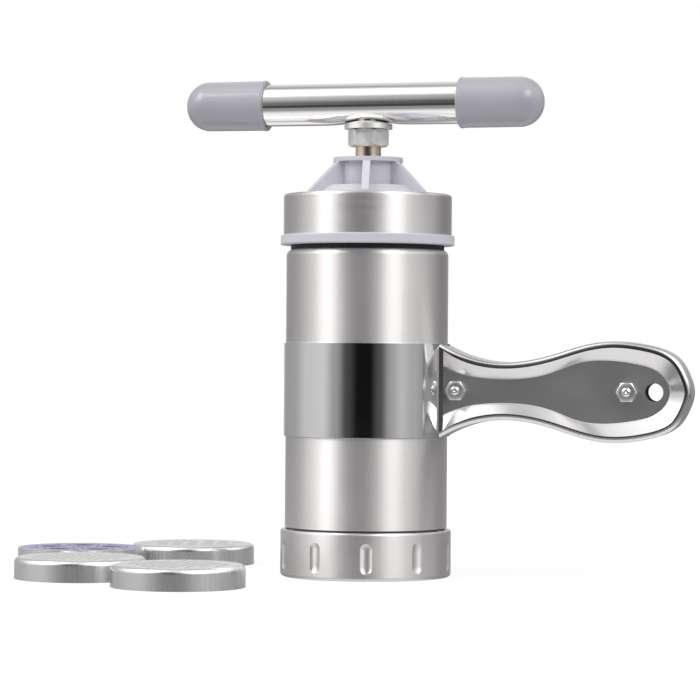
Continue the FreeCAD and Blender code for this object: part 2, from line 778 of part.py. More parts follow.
def tube_core(name, inset):
    """A round bar that is pressed flatter from below at its middle, one inset inside the tube."""
    reach = S.tube_dent_reach
    steps = 5
    turn = FreeCAD.Rotation(DEEP, UP, ACROSS, "XYZ")
    sections = []
    for index in range(2 * steps + 1):
        x = reach * ((index - steps) / steps)
        share = 0.5 + 0.5 * math.cos(math.pi * (index - steps) / steps)
        ring = doc.addObject("Part::Ellipse", name + "_ring" + str(index))
        bind(ring, "MajorRadius", S.tube_radius + S.tube_dent_bulge * share - inset)
        bind(ring, "MinorRadius", S.tube_radius - S.tube_dent * (share / 2) - inset)
        place(ring, x, ZERO, crank_axis + S.tube_dent * (share / 2), turn)
        sections.append(ring)
    middle = doc.addObject("Part::Loft", name + "_middle")
    middle.Sections = sections
    middle.Solid = True
    runs = [middle]
    left = tube_end(S.crank_left)
    for side, start, length in (("left", -left, left - reach), ("right", reach, tube_end(S.crank_right) - reach)):
        run = rod(name + "_" + side, S.tube_radius - inset, length)
        runs.append(place(run, start, ZERO, crank_axis, FreeCAD.Rotation(DEEP, 90)))
    bar = doc.addObject("Part::MultiFuse", name)
    bar.Shapes = runs
    doc.recompute()
    return bar


def turn_with_crank(item):
    item.Placement = FreeCAD.Placement(FreeCAD.Vector(0, 0, 0), FreeCAD.Rotation(UP, S.crank_rest_angle.value))
    return item


def tube_end(reach):
    """How far the tube reaches inside a grip whose nose is at the given reach."""
    return reach - S.end_cap_length + S.end_cap_sink


def crank_tube():
    outside = tube_core("tube_outside", ZERO)
    inside = tube_core("tube_inside", S.tube_wall)
    hollow = boolean("Part::Cut", "tube_hollow", outside, inside)
    hole = place(rod("tube_hole", S.screw_radius + S.seat_clear, S.tube_radius),
                 ZERO, ZERO, crank_axis - S.tube_radius)
    return keep(turn_with_crank(boolean("Part::Cut", "crank_tube_cut", hollow, hole)), "crank_tube")


def tube_insert():
    """A slug inside the tube that the screw's head is fixed into."""
    core = tube_core("insert_core", S.tube_wall + S.seat_clear)
    block = doc.addObject("Part::Box", "insert_block")
    bind(block, "Length", S.insert_length)
    bind(block, "Width", S.tube_radius * 4)
    bind(block, "Height", S.tube_radius * 4)
    place(block, -(S.insert_length / 2), -(S.tube_radius * 2), crank_axis - S.tube_radius * 2)
    slug = boolean("Part::Common", "insert_slug", core, block)
    hole = place(rod("insert_hole", S.screw_radius + S.seat_clear, S.tube_radius * 1.5 + S.seat_clear),
                 ZERO, ZERO, crank_axis - S.tube_radius)
    return keep(turn_with_crank(boolean("Part::Cut", "tube_insert_cut", slug, hole)), "tube_insert")


def end_cap(name, side, reach):
    """A closed grip pushed over one end of the tube, with a nearly round nose."""
    mouth = reach - S.end_cap_length
    bore = S.tube_radius + S.seat_clear
    floor = tube_end(reach) + S.seat_clear
    nose = end_cap_radius - S.end_cap_draft
    body = turned(name, [(bore, mouth), (end_cap_radius, mouth), (nose, reach), (ZERO, reach), (ZERO, floor),
                         (bore, floor)])
    round_rims(body, [(nose, reach)], nose - S.end_cap_tip_flat)
    round_rims(body, [(end_cap_radius, mouth)], S.end_cap_mouth)
    lay = FreeCAD.Rotation(DEEP, 90 * side)
    body.Placement = FreeCAD.Placement(FreeCAD.Vector(0, 0, crank_axis.value),
                                       FreeCAD.Rotation(UP, S.crank_rest_angle.value) * lay)
    body.setExpression("Placement.Base.z", crank_axis.text)
    return keep(body, name)


# Piston

def piston_disc():
    low = piston_rest + S.plate_thick
    middle = low + S.disc_thick / 2
    half = S.seal_groove / 2
    groove = piston_radius - S.seal_groove_depth
    pocket = collar_radius + S.piston_clear
    body = turned("piston_disc_body", [
        (ZERO, low), (piston_radius, low), (piston_radius, middle - half), (groove, middle - half),
        (groove, middle + half), (piston_radius, middle + half), (piston_radius, cover_bottom),
        (pocket, cover_bottom), (pocket, collar_bottom), (ZERO, collar_bottom)])
    deep = cover_bottom - S.cover_screw_length + S.cover_thick
    pins = [place(rod("disc_hole" + str(i), S.cover_screw_radius + S.seat_clear, S.cover_screw_length), x, y, deep)
            for i, (x, y) in enumerate(screw_spots())]
    return keep(boolean("Part::Cut", "piston_disc_cut", body, group("disc_holes", pins)), "piston_disc")


def screw_spots():
    """Where the cover's screws stand round the swivel."""
    count = int(S.cover_screw_count.value)
    turns = [math.radians(FULL_TURN * i / count + S.cover_screw_turn.value) for i in range(count)]
    return [(cover_screw_circle * math.cos(turn), cover_screw_circle * math.sin(turn)) for turn in turns]


def piston_plate():
    radius = piston_radius - S.plate_inset
    low = piston_rest
    body = turned("piston_plate", [(ZERO, low), (radius, low), (radius, low + S.plate_thick),
                                   (ZERO, low + S.plate_thick)])
    round_rims(body, [(radius, low)], S.plate_thick / 2)
    return keep(body, "piston_plate")


def piston_seal():
    middle = piston_rest + S.plate_thick + S.disc_thick / 2
    half = S.seal_groove / 2 - S.seat_clear
    inner = piston_radius - S.seal_groove_depth + S.seat_clear
    outer = piston_radius + S.seal_proud
    body = turned("piston_seal", [(inner, middle - half), (outer, middle - half), (outer, middle + half),
                                  (inner, middle + half)])
    return keep(body, "piston_seal")


def swivel_cover():
    hole = S.screw_radius + S.piston_clear
    body = turned("swivel_cover_body", [(hole, cover_bottom), (cover_radius, cover_bottom),
                                   (cover_radius, cover_top), (hole, cover_top)])
    pins = [place(rod("cover_hole" + str(i), S.cover_screw_radius + S.seat_clear, S.cover_thick), x, y, cover_bottom)
            for i, (x, y) in enumerate(screw_spots())]
    return keep(boolean("Part::Cut", "swivel_cover_cut", body, group("cover_holes", pins)), "swivel_cover")


def cover_screws():
    screws = []
    for i, (x, y) in enumerate(screw_spots()):
        shank = place(rod("cover_shank" + str(i), S.cover_screw_radius, S.cover_screw_length),
                      x, y, cover_top - S.cover_screw_length)
        head = place(rod("cover_head" + str(i), S.cover_head_radius, S.cover_head_thick), x, y, cover_top)
        screws.append(boolean("Part::Fuse", "cover_screw" + str(i), shank, head))
    return keep(group("cover_screws_group", screws), "cover_screws")


# Base cap

def flutes(name, wall):
    """Cutters for the grip dimples: upright bars with round ends that dip into the cap's side."""
    depth = S.dimple_depth.value
    width = S.dimple_width.value
    bow = ((width / 2) ** 2 + depth ** 2) / (2 * depth)
    radius = bow + wall.value
    half = (S.dimple_tall_share.value * S.base_height.value - width) / 2
    middle = S.dimple_middle_share.value * S.base_height.value
    out = base_radius.value - depth + bow
    low = FreeCAD.Vector(out, 0, middle - half)
    high = FreeCAD.Vector(out, 0, middle + half)
    slant = radius * math.sqrt(0.5)
    ends = [Part.Arc(low - UP * radius, low + ACROSS * slant - UP * slant, low + ACROSS * radius).toShape(),
            Part.LineSegment(low + ACROSS * radius, high + ACROSS * radius).toShape(),
            Part.Arc(high + ACROSS * radius, high + ACROSS * slant + UP * slant, high + UP * radius).toShape(),
            Part.LineSegment(high + UP * radius, low - UP * radius).toShape()]
    bar = Part.Face(Part.Wire(ends)).revolve(low, UP, FULL_TURN)
    count = int(S.dimple_count.value)
    bars = []
    for i in range(count):
        turned_bar = bar.copy()
        turned_bar.rotate(FreeCAD.Vector(0, 0, 0), UP, S.dimple_angle.value + FULL_TURN * i / count)
        bars.append(turned_bar)
    return feature(name, Part.makeCompound(bars))


def base_cap_shell():
    inner = base_radius - S.base_sheet
    lip = base_radius - S.base_sheet - S.base_lip
    top_inner = S.base_height - S.base_sheet
    body = turned("base_cap_shell_body", [
        (die_window, ZERO), (base_radius, ZERO), (base_radius, S.base_height), (lip, S.base_height),
        (lip, top_inner), (inner, top_inner), (inner, S.base_sheet), (die_window, S.base_sheet)])
    round_rims(body, [(base_radius, ZERO)], S.base_corner)
    round_rims(body, [(base_radius, S.base_height)], S.base_top_round)
    inside = place(rod("dimple_inside", inner + S.seat_clear, S.base_height), ZERO, ZERO, ZERO)
    backs = boolean("Part::Common", "dimple_backs", flutes("dimple_bars", S.dimple_wall), inside)
    pressed = boolean("Part::Fuse", "base_cap_pressed", body, backs)
    cuts = flutes("dimple_cuts", ZERO)
    return keep(boolean("Part::Cut", "base_cap_shell_cut", pressed, cuts), "base_cap_shell")


def base_cap_ring():
    """The moulded ring inside the base cap, with the seat for the die and the thread."""
    outer = base_radius - S.base_sheet - S.seat_clear
    top = S.base_height - S.base_sheet
    seat = die_radius + S.die_clear
    low = S.base_sheet
    body = turned("base_cap_ring_body", [
        (seat, low), (outer, low), (outer, top), (cap_bore, top), (cap_bore, gasket_bottom), (seat, gasket_bottom)])
    start = neck_bottom + S.tooth_root
    meshing = start + S.base_pitch / 2
    add_thread(body, "ring_thread", inner_tooth(cap_bore, meshing, S.tooth_depth, S.tooth_root, S.tooth_crest),
               S.base_pitch, S.base_pitch * S.base_mate_turns)
    grooves = flutes("dimple_grooves", S.dimple_wall + S.seat_clear)
    return keep(boolean("Part::Cut", "base_cap_ring_cut", body, grooves), "base_cap_ring")


def die_gasket():
    outer = neck_radius - S.piston_clear
    body = turned("die_gasket", [
        (outer - S.gasket_wide, gasket_bottom), (outer, gasket_bottom), (outer, neck_bottom),
        (outer - S.gasket_wide, neck_bottom)])
    return keep(body, "die_gasket")


# Dies

def die_cup(name):
    """A shallow steel cup with its face down and its mouth up, standing on its face."""
    inner = die_radius - S.die_sheet
    body = turned(name, [(ZERO, ZERO), (die_radius, ZERO), (die_radius, S.die_height), (inner, S.die_height),
                         (inner, S.die_sheet), (ZERO, S.die_sheet)])
    round_rims(body, [(die_radius, ZERO)], S.die_edge)
    round_rims(body, [(inner, S.die_sheet)], S.die_edge - S.die_sheet)
    return body


def round_pin(x, y, radius):
    return Part.makeCylinder(radius, 4 * S.die_sheet.value, FreeCAD.Vector(x, y, -S.die_sheet.value), UP)


def slot_pins():
    """Rows of short parallel slots, every other row half a step along."""
    pins = []
    length = S.slot_length.value
    width = S.slot_width.value
    pitch = (die_radius * S.slot_share).value
    step = (die_radius * S.slot_row_share).value
    for row, count, shift in SLOT_ROWS:
        for i in range(count):
            x = (i - (count - 1) / 2 + shift) * pitch
            y = row * step
            corner = FreeCAD.Vector(x - length / 2, y - width / 2, -S.die_sheet.value)
            pins.append(Part.makeBox(length, width, 4 * S.die_sheet.value, corner))
    return pins


def staggered_pins():
    """Rows of small holes, each row half a step off the next."""
    pins = []
    pitch = (die_radius * S.small_share).value
    step = (die_radius * S.small_row_share).value
    for row, count in enumerate(SMALL_ROWS):
        y = (row - (len(SMALL_ROWS) - 1) / 2) * step
        for i in range(count):
            x = (i - (count - 1) / 2) * pitch
            pins.append(round_pin(x, y, S.small_hole_radius.value))
    return pins


def grid_pins():
    """A square grid of holes kept inside a circle."""
    pins = []
    pitch = (die_radius * S.grid_share).value
    for row, count in enumerate(GRID_ROWS):
        y = (row - (len(GRID_ROWS) - 1) / 2) * pitch
        for i in range(count):
            x = (i - (count - 1) / 2) * pitch
            pins.append(round_pin(x, y, S.grid_hole_radius.value))
    return pins


def ring_pins():
    """Rings of larger holes about one in the middle."""
    pins = []
    for ring, count in enumerate(LARGE_RINGS):
        for i in range(count):
            turn = 2 * math.pi * i / count
            reach = ring * (die_radius * S.large_ring_share).value
            pins.append(round_pin(reach * math.cos(turn), reach * math.sin(turn), S.large_hole_radius.value))
    return pins


def pierced(name, pins):
    cup = die_cup(name + "_cup")
    tool = feature(name + "_pins", Part.makeCompound(pins))
    return boolean("Part::Cut", name + "_cut", cup, tool)


def die_place(name):
    """Where a loose die's centre lies and how the die is turned."""
    x, y, turn = DIE_PLACES[name]
    spot = FreeCAD.Rotation(UP, PLAN_TURN).multVec(FreeCAD.Vector(x, y, 0) * die_radius.value)
    return spot, FreeCAD.Rotation(UP, turn + PLAN_TURN)


def lay_loose(item, name):
    """Lay a die on the surface, face up, at its place beside the press."""
    spot, turn = die_place(name)
    spot.z = S.die_height.value
    item.Placement = FreeCAD.Placement(spot, turn * FreeCAD.Rotation(ACROSS, 180))
    item.setExpression("Placement.Base.z", S.die_height.text)
    return keep(item, name)


def fitted_die():
    item = pierced("die_large_holes", ring_pins())
    place(item, ZERO, ZERO, S.base_sheet)
    return keep(item, "die_large_holes")


def tube_die():
    """A die in two pieces: a bare steel cup and a moulded insert with five tubes."""
    spot, turn = die_place("die_tubes_cup")
    cup = die_cup("die_tubes_cup_body")
    window = place(rod("die_tubes_window", die_window, S.die_sheet * 4), ZERO, ZERO, -S.die_sheet)
    cup = boolean("Part::Cut", "die_tubes_cup_cut", cup, window)
    cup.Placement = FreeCAD.Placement(spot, turn)
    keep(cup, "die_tubes_cup")
    insert = feature("die_tubes_insert", tube_insert_shape())
    insert.Placement = FreeCAD.Placement(spot, turn)
    keep(insert, "die_tubes_insert")


def tube_insert_shape():
    """The moulded insert, with grooves round its tubes and windows between them."""
    low = S.die_sheet.value
    high = S.die_height.value
    wide = die_radius.value
    radius = wide - S.die_sheet.value - S.seat_clear.value
    solid = Part.makeCylinder(radius, high - low, FreeCAD.Vector(0, 0, low), UP)
    bottom = [edge for edge in solid.Edges if edge.BoundBox.ZMax < low + 0.01]
    solid = solid.makeFillet(S.die_edge.value - S.die_sheet.value + S.seat_clear.value, bottom)
    groove = S.tube_groove.value
    deep = S.tube_groove_depth.value
    spread = math.radians(S.window_spread.value)
    corners_of = ((-spread, S.window_side_share), (spread, S.window_side_share), (math.pi, S.window_inner_share))
    cuts = []
    spots = [(FreeCAD.Vector(0, 0, 0), S.centre_outer_share, None, S.centre_bore_share)]
    count = int(S.tube_count.value)
    for i in range(count):
        turn = math.radians(FIRST_TUBE + FULL_TURN * i / count)
        centre = FreeCAD.Vector(math.cos(turn), math.sin(turn), 0) * wide * S.tube_ring_share.value
        spots.append((centre, S.tube_outer_share, S.tube_recess_share, S.tube_bore_share))
        between = turn + math.pi / count
        middle = FreeCAD.Vector(math.cos(between), math.sin(between), 0) * wide * S.window_share.value
        corners = []
        for way, share in corners_of:
            step = FreeCAD.Vector(math.cos(between + way), math.sin(between + way), 0)
            corners.append(middle + step * wide * share.value)
        cuts.append(Part.Face(Part.makePolygon(corners + [corners[0]])).extrude(UP * (high + 1)))
    for centre, outer, recess, bore in spots:
        rim = centre + UP * (high - deep)
        ring = Part.makeCylinder(wide * outer.value, deep, rim, UP)
        cuts.append(ring.cut(Part.makeCylinder(wide * outer.value - groove, deep, rim, UP)))
        cuts.append(Part.makeCylinder(wide * bore.value, high + 1, centre, UP))
        if recess:
            floor = centre + UP * (high - S.tube_recess_depth.value)
            cuts.append(Part.makeCylinder(wide * recess.value, S.tube_recess_depth.value, floor, UP))
    return solid.cut(Part.makeCompound(cuts[:1]).fuse(cuts[1:]))


def build():
    barrel_shell()
    barrel_liner()
    clamp_band()
    handle_shell("handle_shell_front", -1)
    handle_shell("handle_shell_back", 1)
    handle_fasteners()
    neck_seal()
    cap_hub()
    cap_ring()
    thread_bush()
    lead_screw()
    lock_nut()
    seat_washer()
    crank_tube()
    tube_insert()
    end_cap("end_cap_right", 1, S.crank_right)
    end_cap("end_cap_left", -1, S.crank_left)
    piston_disc()
    piston_plate()
    piston_seal()
    swivel_cover()
    cover_screws()
    base_cap_shell()
    base_cap_ring()
    die_gasket()
    fitted_die()
    lay_loose(pierced("die_slots", slot_pins()), "die_slots")
    lay_loose(pierced("die_small_holes", staggered_pins()), "die_small_holes")
    lay_loose(pierced("die_medium_holes", grid_pins()), "die_medium_holes")
    tube_die()


def check():
    """Stop before anything is written if an object failed or a shape is not sound."""
    doc.recompute()
    for item in doc.Objects:
        if "Invalid" in item.State or "Error" in item.State:
            raise RuntimeError(item.Label + " did not build: " + str(item.State))
    for item in PARTS:
        if item.Shape.isNull() or not item.Shape.isValid() or not item.Shape.Solids:
            raise RuntimeError(item.Label + " has no sound solid")


def write():
    os.makedirs("parts", exist_ok=True)
    for item in PARTS:
        item.Shape.exportStep("parts/" + item.Label + ".step")
        print(item.Label, len(item.Shape.Solids), round(item.Shape.Volume, 1))


build()
check()
write()
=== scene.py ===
"""Dresses the hand cranked noodle press: finishes, small rounded pieces, studio and camera.

All lengths are metres in the frame of the solid model: Z up along the barrel, +X along the side handle.
"""

import logging
import math
from dataclasses import dataclass, field
from enum import Enum
from typing import Iterable, Sequence

import bmesh
import bpy
from mathutils import Matrix, Vector


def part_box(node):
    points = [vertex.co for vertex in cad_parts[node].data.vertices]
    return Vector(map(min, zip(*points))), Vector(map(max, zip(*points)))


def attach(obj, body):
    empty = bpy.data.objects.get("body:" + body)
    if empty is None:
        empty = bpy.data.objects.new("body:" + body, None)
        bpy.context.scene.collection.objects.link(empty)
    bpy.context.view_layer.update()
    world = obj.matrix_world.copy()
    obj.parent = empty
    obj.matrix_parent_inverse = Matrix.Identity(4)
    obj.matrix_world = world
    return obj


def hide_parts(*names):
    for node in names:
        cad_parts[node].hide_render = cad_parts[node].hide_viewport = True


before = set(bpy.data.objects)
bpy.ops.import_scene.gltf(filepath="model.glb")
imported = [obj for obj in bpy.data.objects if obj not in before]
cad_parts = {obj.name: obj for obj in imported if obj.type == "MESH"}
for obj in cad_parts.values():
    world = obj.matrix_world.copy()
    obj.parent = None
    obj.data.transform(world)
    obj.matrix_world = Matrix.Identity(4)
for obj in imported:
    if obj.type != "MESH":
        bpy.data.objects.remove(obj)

Color = tuple[float, float, float]
Pair = tuple[float, float]
Socket = bpy.types.NodeSocket
log = logging.getLogger("noodle_press")

MM = 0.001
# A quarter of a full turn, as a shader counts turns
QUARTER_TURN = 0.25
FULL_TURN = 360.0
# Edges that fold by more than this stay crisp
CRISP = math.radians(32.0)
# Points closer than this are one, in millimetres
SAME_POINT = 0.0005
# How near a cut takes a point as lying on it, in millimetres
CUT_REACH = 0.0001
NUT_SIDES = 6
NUT_CHAMFER = math.radians(30.0)
# A nut's round face, as a share of its width across flats
NUT_FACE_SHARE = 0.97
# How quickly brushed lines change along their length, per metre, or per radian where they run round
ROUND_STEPS = 1.6
LENGTH_STEPS = 60.0
FACE_STEPS = 80.0
# How fine the mottling of a metal without lines is, per metre
GRAIN_STEPS = 400.0
# Samples of a shader's rounded edge
EDGE_SAMPLES = 6
# The range that holds most of a noise's values
NOISE_RANGE: Pair = (0.3, 0.7)
STEEL_COLOR: Color = (0.80, 0.773, 0.772)
LILAC: Color = (0.545, 0.54, 0.59)
RUBBER: Color = (0.012, 0.012, 0.013)


class Grain(Enum):
    """How the fine lines of a brushed or moulded surface run."""

    AROUND = "around the piece's upright axis"
    ALONG = "along the piece's length"
    FACE = "across a flat face"
    NONE = "no lines"


class Graph:
    """The node tree of a material or a world, put together a node at a time."""

    def __init__(self, owner: bpy.types.Material | bpy.types.World) -> None:
        """Empties the owner's tree.

        Args:
            owner: The material or world.
        """
        self.owner = owner
        owner.use_nodes = True
        self.tree = owner.node_tree
        self.tree.nodes.clear()

    def node(self, kind: str, **settings: object) -> bpy.types.Node:
        """Adds a node.

        Args:
            kind: The node's type, without its ShaderNode prefix.
            settings: Properties to set on it.

        Returns:
            The new node.
        """
        item = self.tree.nodes.new("ShaderNode" + kind)
        for name, value in settings.items():
            setattr(item, name, value)
        return item

    def join(self, source: Socket, target: Socket) -> None:
        """Links an output to an input."""
        self.tree.links.new(source, target)

    def value(self, operation: str, *terms: object) -> Socket:
        """Adds a math node.

        Args:
            operation: The math node's operation.
            terms: Its inputs, as numbers or sockets.

        Returns:
            The result's socket.
        """
        item = self.node("Math", operation=operation)
        for index, term in enumerate(terms):
            if isinstance(term, Socket):
                self.join(term, item.inputs[index])
            else:
                item.inputs[index].default_value = float(term)
        return item.outputs[0]

    def noise(self, vector: Socket, scale: float, detail: float = 2.0) -> Socket:
        """Adds a noise texture on the given coordinates.

        Args:
            vector: The coordinates' socket.
            scale: The noise's scale.
            detail: Its octaves.

        Returns:
            The noise's value socket.
        """
        item = self.node("TexNoise")
        item.inputs["Scale"].default_value = scale
        item.inputs["Detail"].default_value = detail
        self.join(vector, item.inputs["Vector"])
        return item.outputs["Fac"]

    def spread(self, fac: Socket, low: float, high: float) -> Socket:
        """Maps a noise's middle range to a range of values.

        Args:
            fac: The noise's socket.
            low: The value at the noise's low end.
            high: The value at its high end.

        Returns:
            The mapped value's socket.
        """
        return self.remap(fac, NOISE_RANGE, (low, high), "LINEAR")

    def smooth(self, value: Socket, span: Pair, result: Pair = (0.0, 1.0)) -> Socket:
        """Maps a value to another range with a soft start and end.

        Args:
            value: The value's socket.
            span: The range that is mapped.
            result: What its two ends become.

        Returns:
            The mapped value's socket.
        """
        return self.remap(value, span, result, "SMOOTHSTEP")

    def remap(self, value: Socket, span: Pair, result: Pair, kind: str) -> Socket:
        """Adds a map range node.

        Args:
            value: The value's socket.
            span: The range that is mapped.
            result: What its two ends become.
            kind: The node's interpolation.

        Returns:
            The mapped value's socket.
        """
        item = self.node("MapRange", interpolation_type=kind)
        for name, number in zip(("From Min", "From Max", "To Min", "To Max"), (*span, *result)):
            item.inputs[name].default_value = number
        self.join(value, item.inputs["Value"])
        return item.outputs["Result"]

    def skin(self, height: Socket, strength: float, depth: float) -> bpy.types.Node:
        """Adds a bump node.

        Args:
            height: The relief's socket.
            strength: The bump's strength.
            depth: The relief's depth, in metres.

        Returns:
            The bump node.
        """
        item = self.node("Bump")
        item.inputs["Strength"].default_value = strength
        item.inputs["Distance"].default_value = depth
        self.join(height, item.inputs["Height"])
        return item

    def tint(self, fac: Socket, low: Color, high: Color) -> Socket:
        """Mixes two colours.

        Args:
            fac: The share of the second colour.
            low: The first colour.
            high: The second colour.

        Returns:
            The mixed colour's socket.
        """
        item = self.node("Mix", data_type="RGBA")
        for socket, color in ((item.inputs[6], low), (item.inputs[7], high)):
            socket.default_value = (*color, 1.0)
        self.join(fac, item.inputs[0])
        return item.outputs[2]

    def place(self, center: Vector, turn: float = 0.0) -> Socket:
        """Object coordinates about a point of the object.

        Args:
            center: The point that becomes the pattern's origin.
            turn: The pattern's turn about Z, in radians.

        Returns:
            The coordinates' socket.
        """
        coordinates = self.node("TexCoord")
        mapping = self.node("Mapping", vector_type="TEXTURE")
        mapping.inputs["Location"].default_value = center
        mapping.inputs["Rotation"].default_value = (0.0, 0.0, turn)
        self.join(coordinates.outputs["Object"], mapping.inputs["Vector"])
        return mapping.outputs["Vector"]

    def ramp(self, share: Socket, levels: Sequence[Pair]) -> Socket:
        """Looks up a brightness by direction.

        Args:
            share: The direction, as a share of a full turn.
            levels: Directions in degrees from -180 to 180, each with its brightness.

        Returns:
            The brightness's socket.
        """
        item = self.node("ValToRGB")
        item.color_ramp.interpolation = "EASE"
        stops = item.color_ramp.elements
        while len(stops) > 1:
            stops.remove(stops[-1])
        for index, (angle, level) in enumerate(levels):
            place = angle / FULL_TURN + 0.5
            stop = stops[0] if index == 0 else stops.new(place)
            stop.position = place
            stop.color = (level, level, level, 1.0)
        self.join(share, item.inputs[0])
        return item.outputs[0]

    def finish(self, shader: Socket, kind: str = "OutputMaterial") -> bpy.types.ID:
        """Links the shader to the output.

        Args:
            shader: The shader's socket.
            kind: The output node's type.

        Returns:
            The finished material or world.
        """
        output = self.node(kind)
        self.join(shader, output.inputs["Surface"])
        return self.owner


def new_material(name: str) -> Graph:
    """Starts an empty material."""
    return Graph(bpy.data.materials.new(name))


def shade(color: Color, share: float) -> Color:
    """A colour scaled in brightness.

    Args:
        color: The colour.
        share: What it is multiplied by.

    Returns:
        The scaled colour.
    """
    return (color[0] * share, color[1] * share, color[2] * share)


def grain_vector(graph: Graph, grain: Grain, center: Vector, turn: float,
                 fine: float) -> Socket:
    """Coordinates that stretch a noise into fine lines.

    Args:
        graph: The material's graph.
        grain: How the lines run.
        center: The piece's centre.
        turn: The lines' turn about Z, in radians.
        fine: How many line widths fit in a metre.

    Returns:
        The coordinates' socket.
    """
    vector = graph.place(center, turn)
    parts = graph.node("SeparateXYZ")
    graph.join(vector, parts.inputs[0])
    x, y, z = parts.outputs
    lines = graph.node("CombineXYZ")
    if grain is Grain.AROUND:
        angle = graph.value("ARCTAN2", y, x)
        squares = graph.value("ADD", graph.value("MULTIPLY", x, x), graph.value("MULTIPLY", y, y))
        radius = graph.value("SQRT", squares)
        graph.join(graph.value("MULTIPLY", angle, ROUND_STEPS), lines.inputs[0])
        graph.join(graph.value("MULTIPLY", radius, fine), lines.inputs[1])
        graph.join(graph.value("MULTIPLY", z, fine), lines.inputs[2])
        return lines.outputs[0]
    steps = {Grain.ALONG: (LENGTH_STEPS, fine, fine), Grain.FACE: (FACE_STEPS, fine, FACE_STEPS),
             Grain.NONE: (GRAIN_STEPS,) * 3}
    for socket, source, step in zip(lines.inputs, (x, y, z), steps[grain]):
        graph.join(graph.value("MULTIPLY", source, step), socket)
    return lines.outputs[0]


@dataclass(frozen=True)
class Steel:
    """A bare or plated metal, from fine brushed to mirror bright."""

    name: str
    color: Color
    roughness: float
    grain: Grain = Grain.NONE
    fine: float = 5000.0
    anisotropy: float = 0.0
    contrast: float = 0.06
    relief: float = 0.00001
    strength: float = 0.4
    smudges: float = 55.0
    smudge_depth: float = 0.015
    rough_shares: Pair = (0.9, 1.12)
    center: Vector = field(default_factory=Vector)
    turn: float = 0.0

    def material(self) -> bpy.types.Material:
        """Builds the metal with its lines, smudges and soft unevenness.

        Returns:
            The material.
        """
        graph = new_material(self.name)
        lines = graph.noise(grain_vector(graph, self.grain, self.center, self.turn, self.fine), 1.0, 3.0)
        smudge = graph.noise(graph.place(self.center), self.smudges, 3.0)
        shader = graph.node("BsdfPrincipled")
        shader.inputs["Metallic"].default_value = 1.0
        low, high = shade(self.color, 1.0 - self.contrast), shade(self.color, 1.0 + self.contrast)
        graph.join(graph.tint(graph.spread(lines, 0.0, 1.0), low, high), shader.inputs["Base Color"])
        smooth, coarse = self.rough_shares
        rough = graph.value("ADD", graph.spread(lines, self.roughness * smooth, self.roughness * coarse),
                            graph.spread(smudge, -self.smudge_depth, self.smudge_depth))
        graph.join(rough, shader.inputs["Roughness"])
        if self.anisotropy:
            shader.inputs["Anisotropic"].default_value = self.anisotropy
            shader.inputs["Anisotropic Rotation"].default_value = QUARTER_TURN
            tangent = graph.node("Tangent", direction_type="RADIAL", axis="Z")
            graph.join(tangent.outputs[0], shader.inputs["Tangent"])
        graph.join(graph.skin(lines, self.strength, self.relief).outputs[0], shader.inputs["Normal"])
        return graph.finish(shader.outputs[0])


@dataclass(frozen=True)
class Plastic:
    """A moulded plastic with a half gloss and a very fine uneven skin."""

    name: str
    color: Color
    roughness: float = 0.34
    skin: float = 1400.0
    relief: float = 0.000006
    strength: float = 0.25
    patches: float = 30.0
    drift: float = 0.04
    rough_steps: Pair = (-0.03, 0.04)
    edge: float = 0.0

    def material(self) -> bpy.types.Material:
        """Builds the plastic with slight colour drift and a fine skin.

        Returns:
            The material.
        """
        graph = new_material(self.name)
        vector = graph.place(Vector())
        patches = graph.noise(vector, self.patches, 2.0)
        skin = graph.noise(vector, self.skin, 2.0)
        shader = graph.node("BsdfPrincipled")
        low, high = shade(self.color, 1.0 - self.drift), shade(self.color, 1.0 + self.drift)
        graph.join(graph.tint(graph.spread(patches, 0.0, 1.0), low, high), shader.inputs["Base Color"])
        smooth, coarse = (self.roughness + step for step in self.rough_steps)
        graph.join(graph.spread(skin, smooth, coarse), shader.inputs["Roughness"])
        shader.inputs["Specular IOR Level"].default_value = 0.5
        bump = graph.skin(skin, self.strength, self.relief)
        if self.edge:
            soft = graph.node("Bevel", samples=EDGE_SAMPLES)
            soft.inputs["Radius"].default_value = self.edge
            graph.join(soft.outputs[0], bump.inputs["Normal"])
        graph.join(bump.outputs[0], shader.inputs["Normal"])
        return graph.finish(shader.outputs[0])


def wear(node: str, finish: bpy.types.Material) -> None:
    """Gives a solid node its finish.

    Args:
        node: The node's name.
        finish: Its material.
    """
    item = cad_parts[node]
    if not item.material_slots:
        item.data.materials.append(finish)
    for slot in item.material_slots:
        slot.material = finish


def middle(node: str) -> Vector:
    """The middle of a node's box at rest.

    Args:
        node: The node's name.

    Returns:
        The middle point.
    """
    low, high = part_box(node)
    return (Vector(low) + Vector(high)) / 2


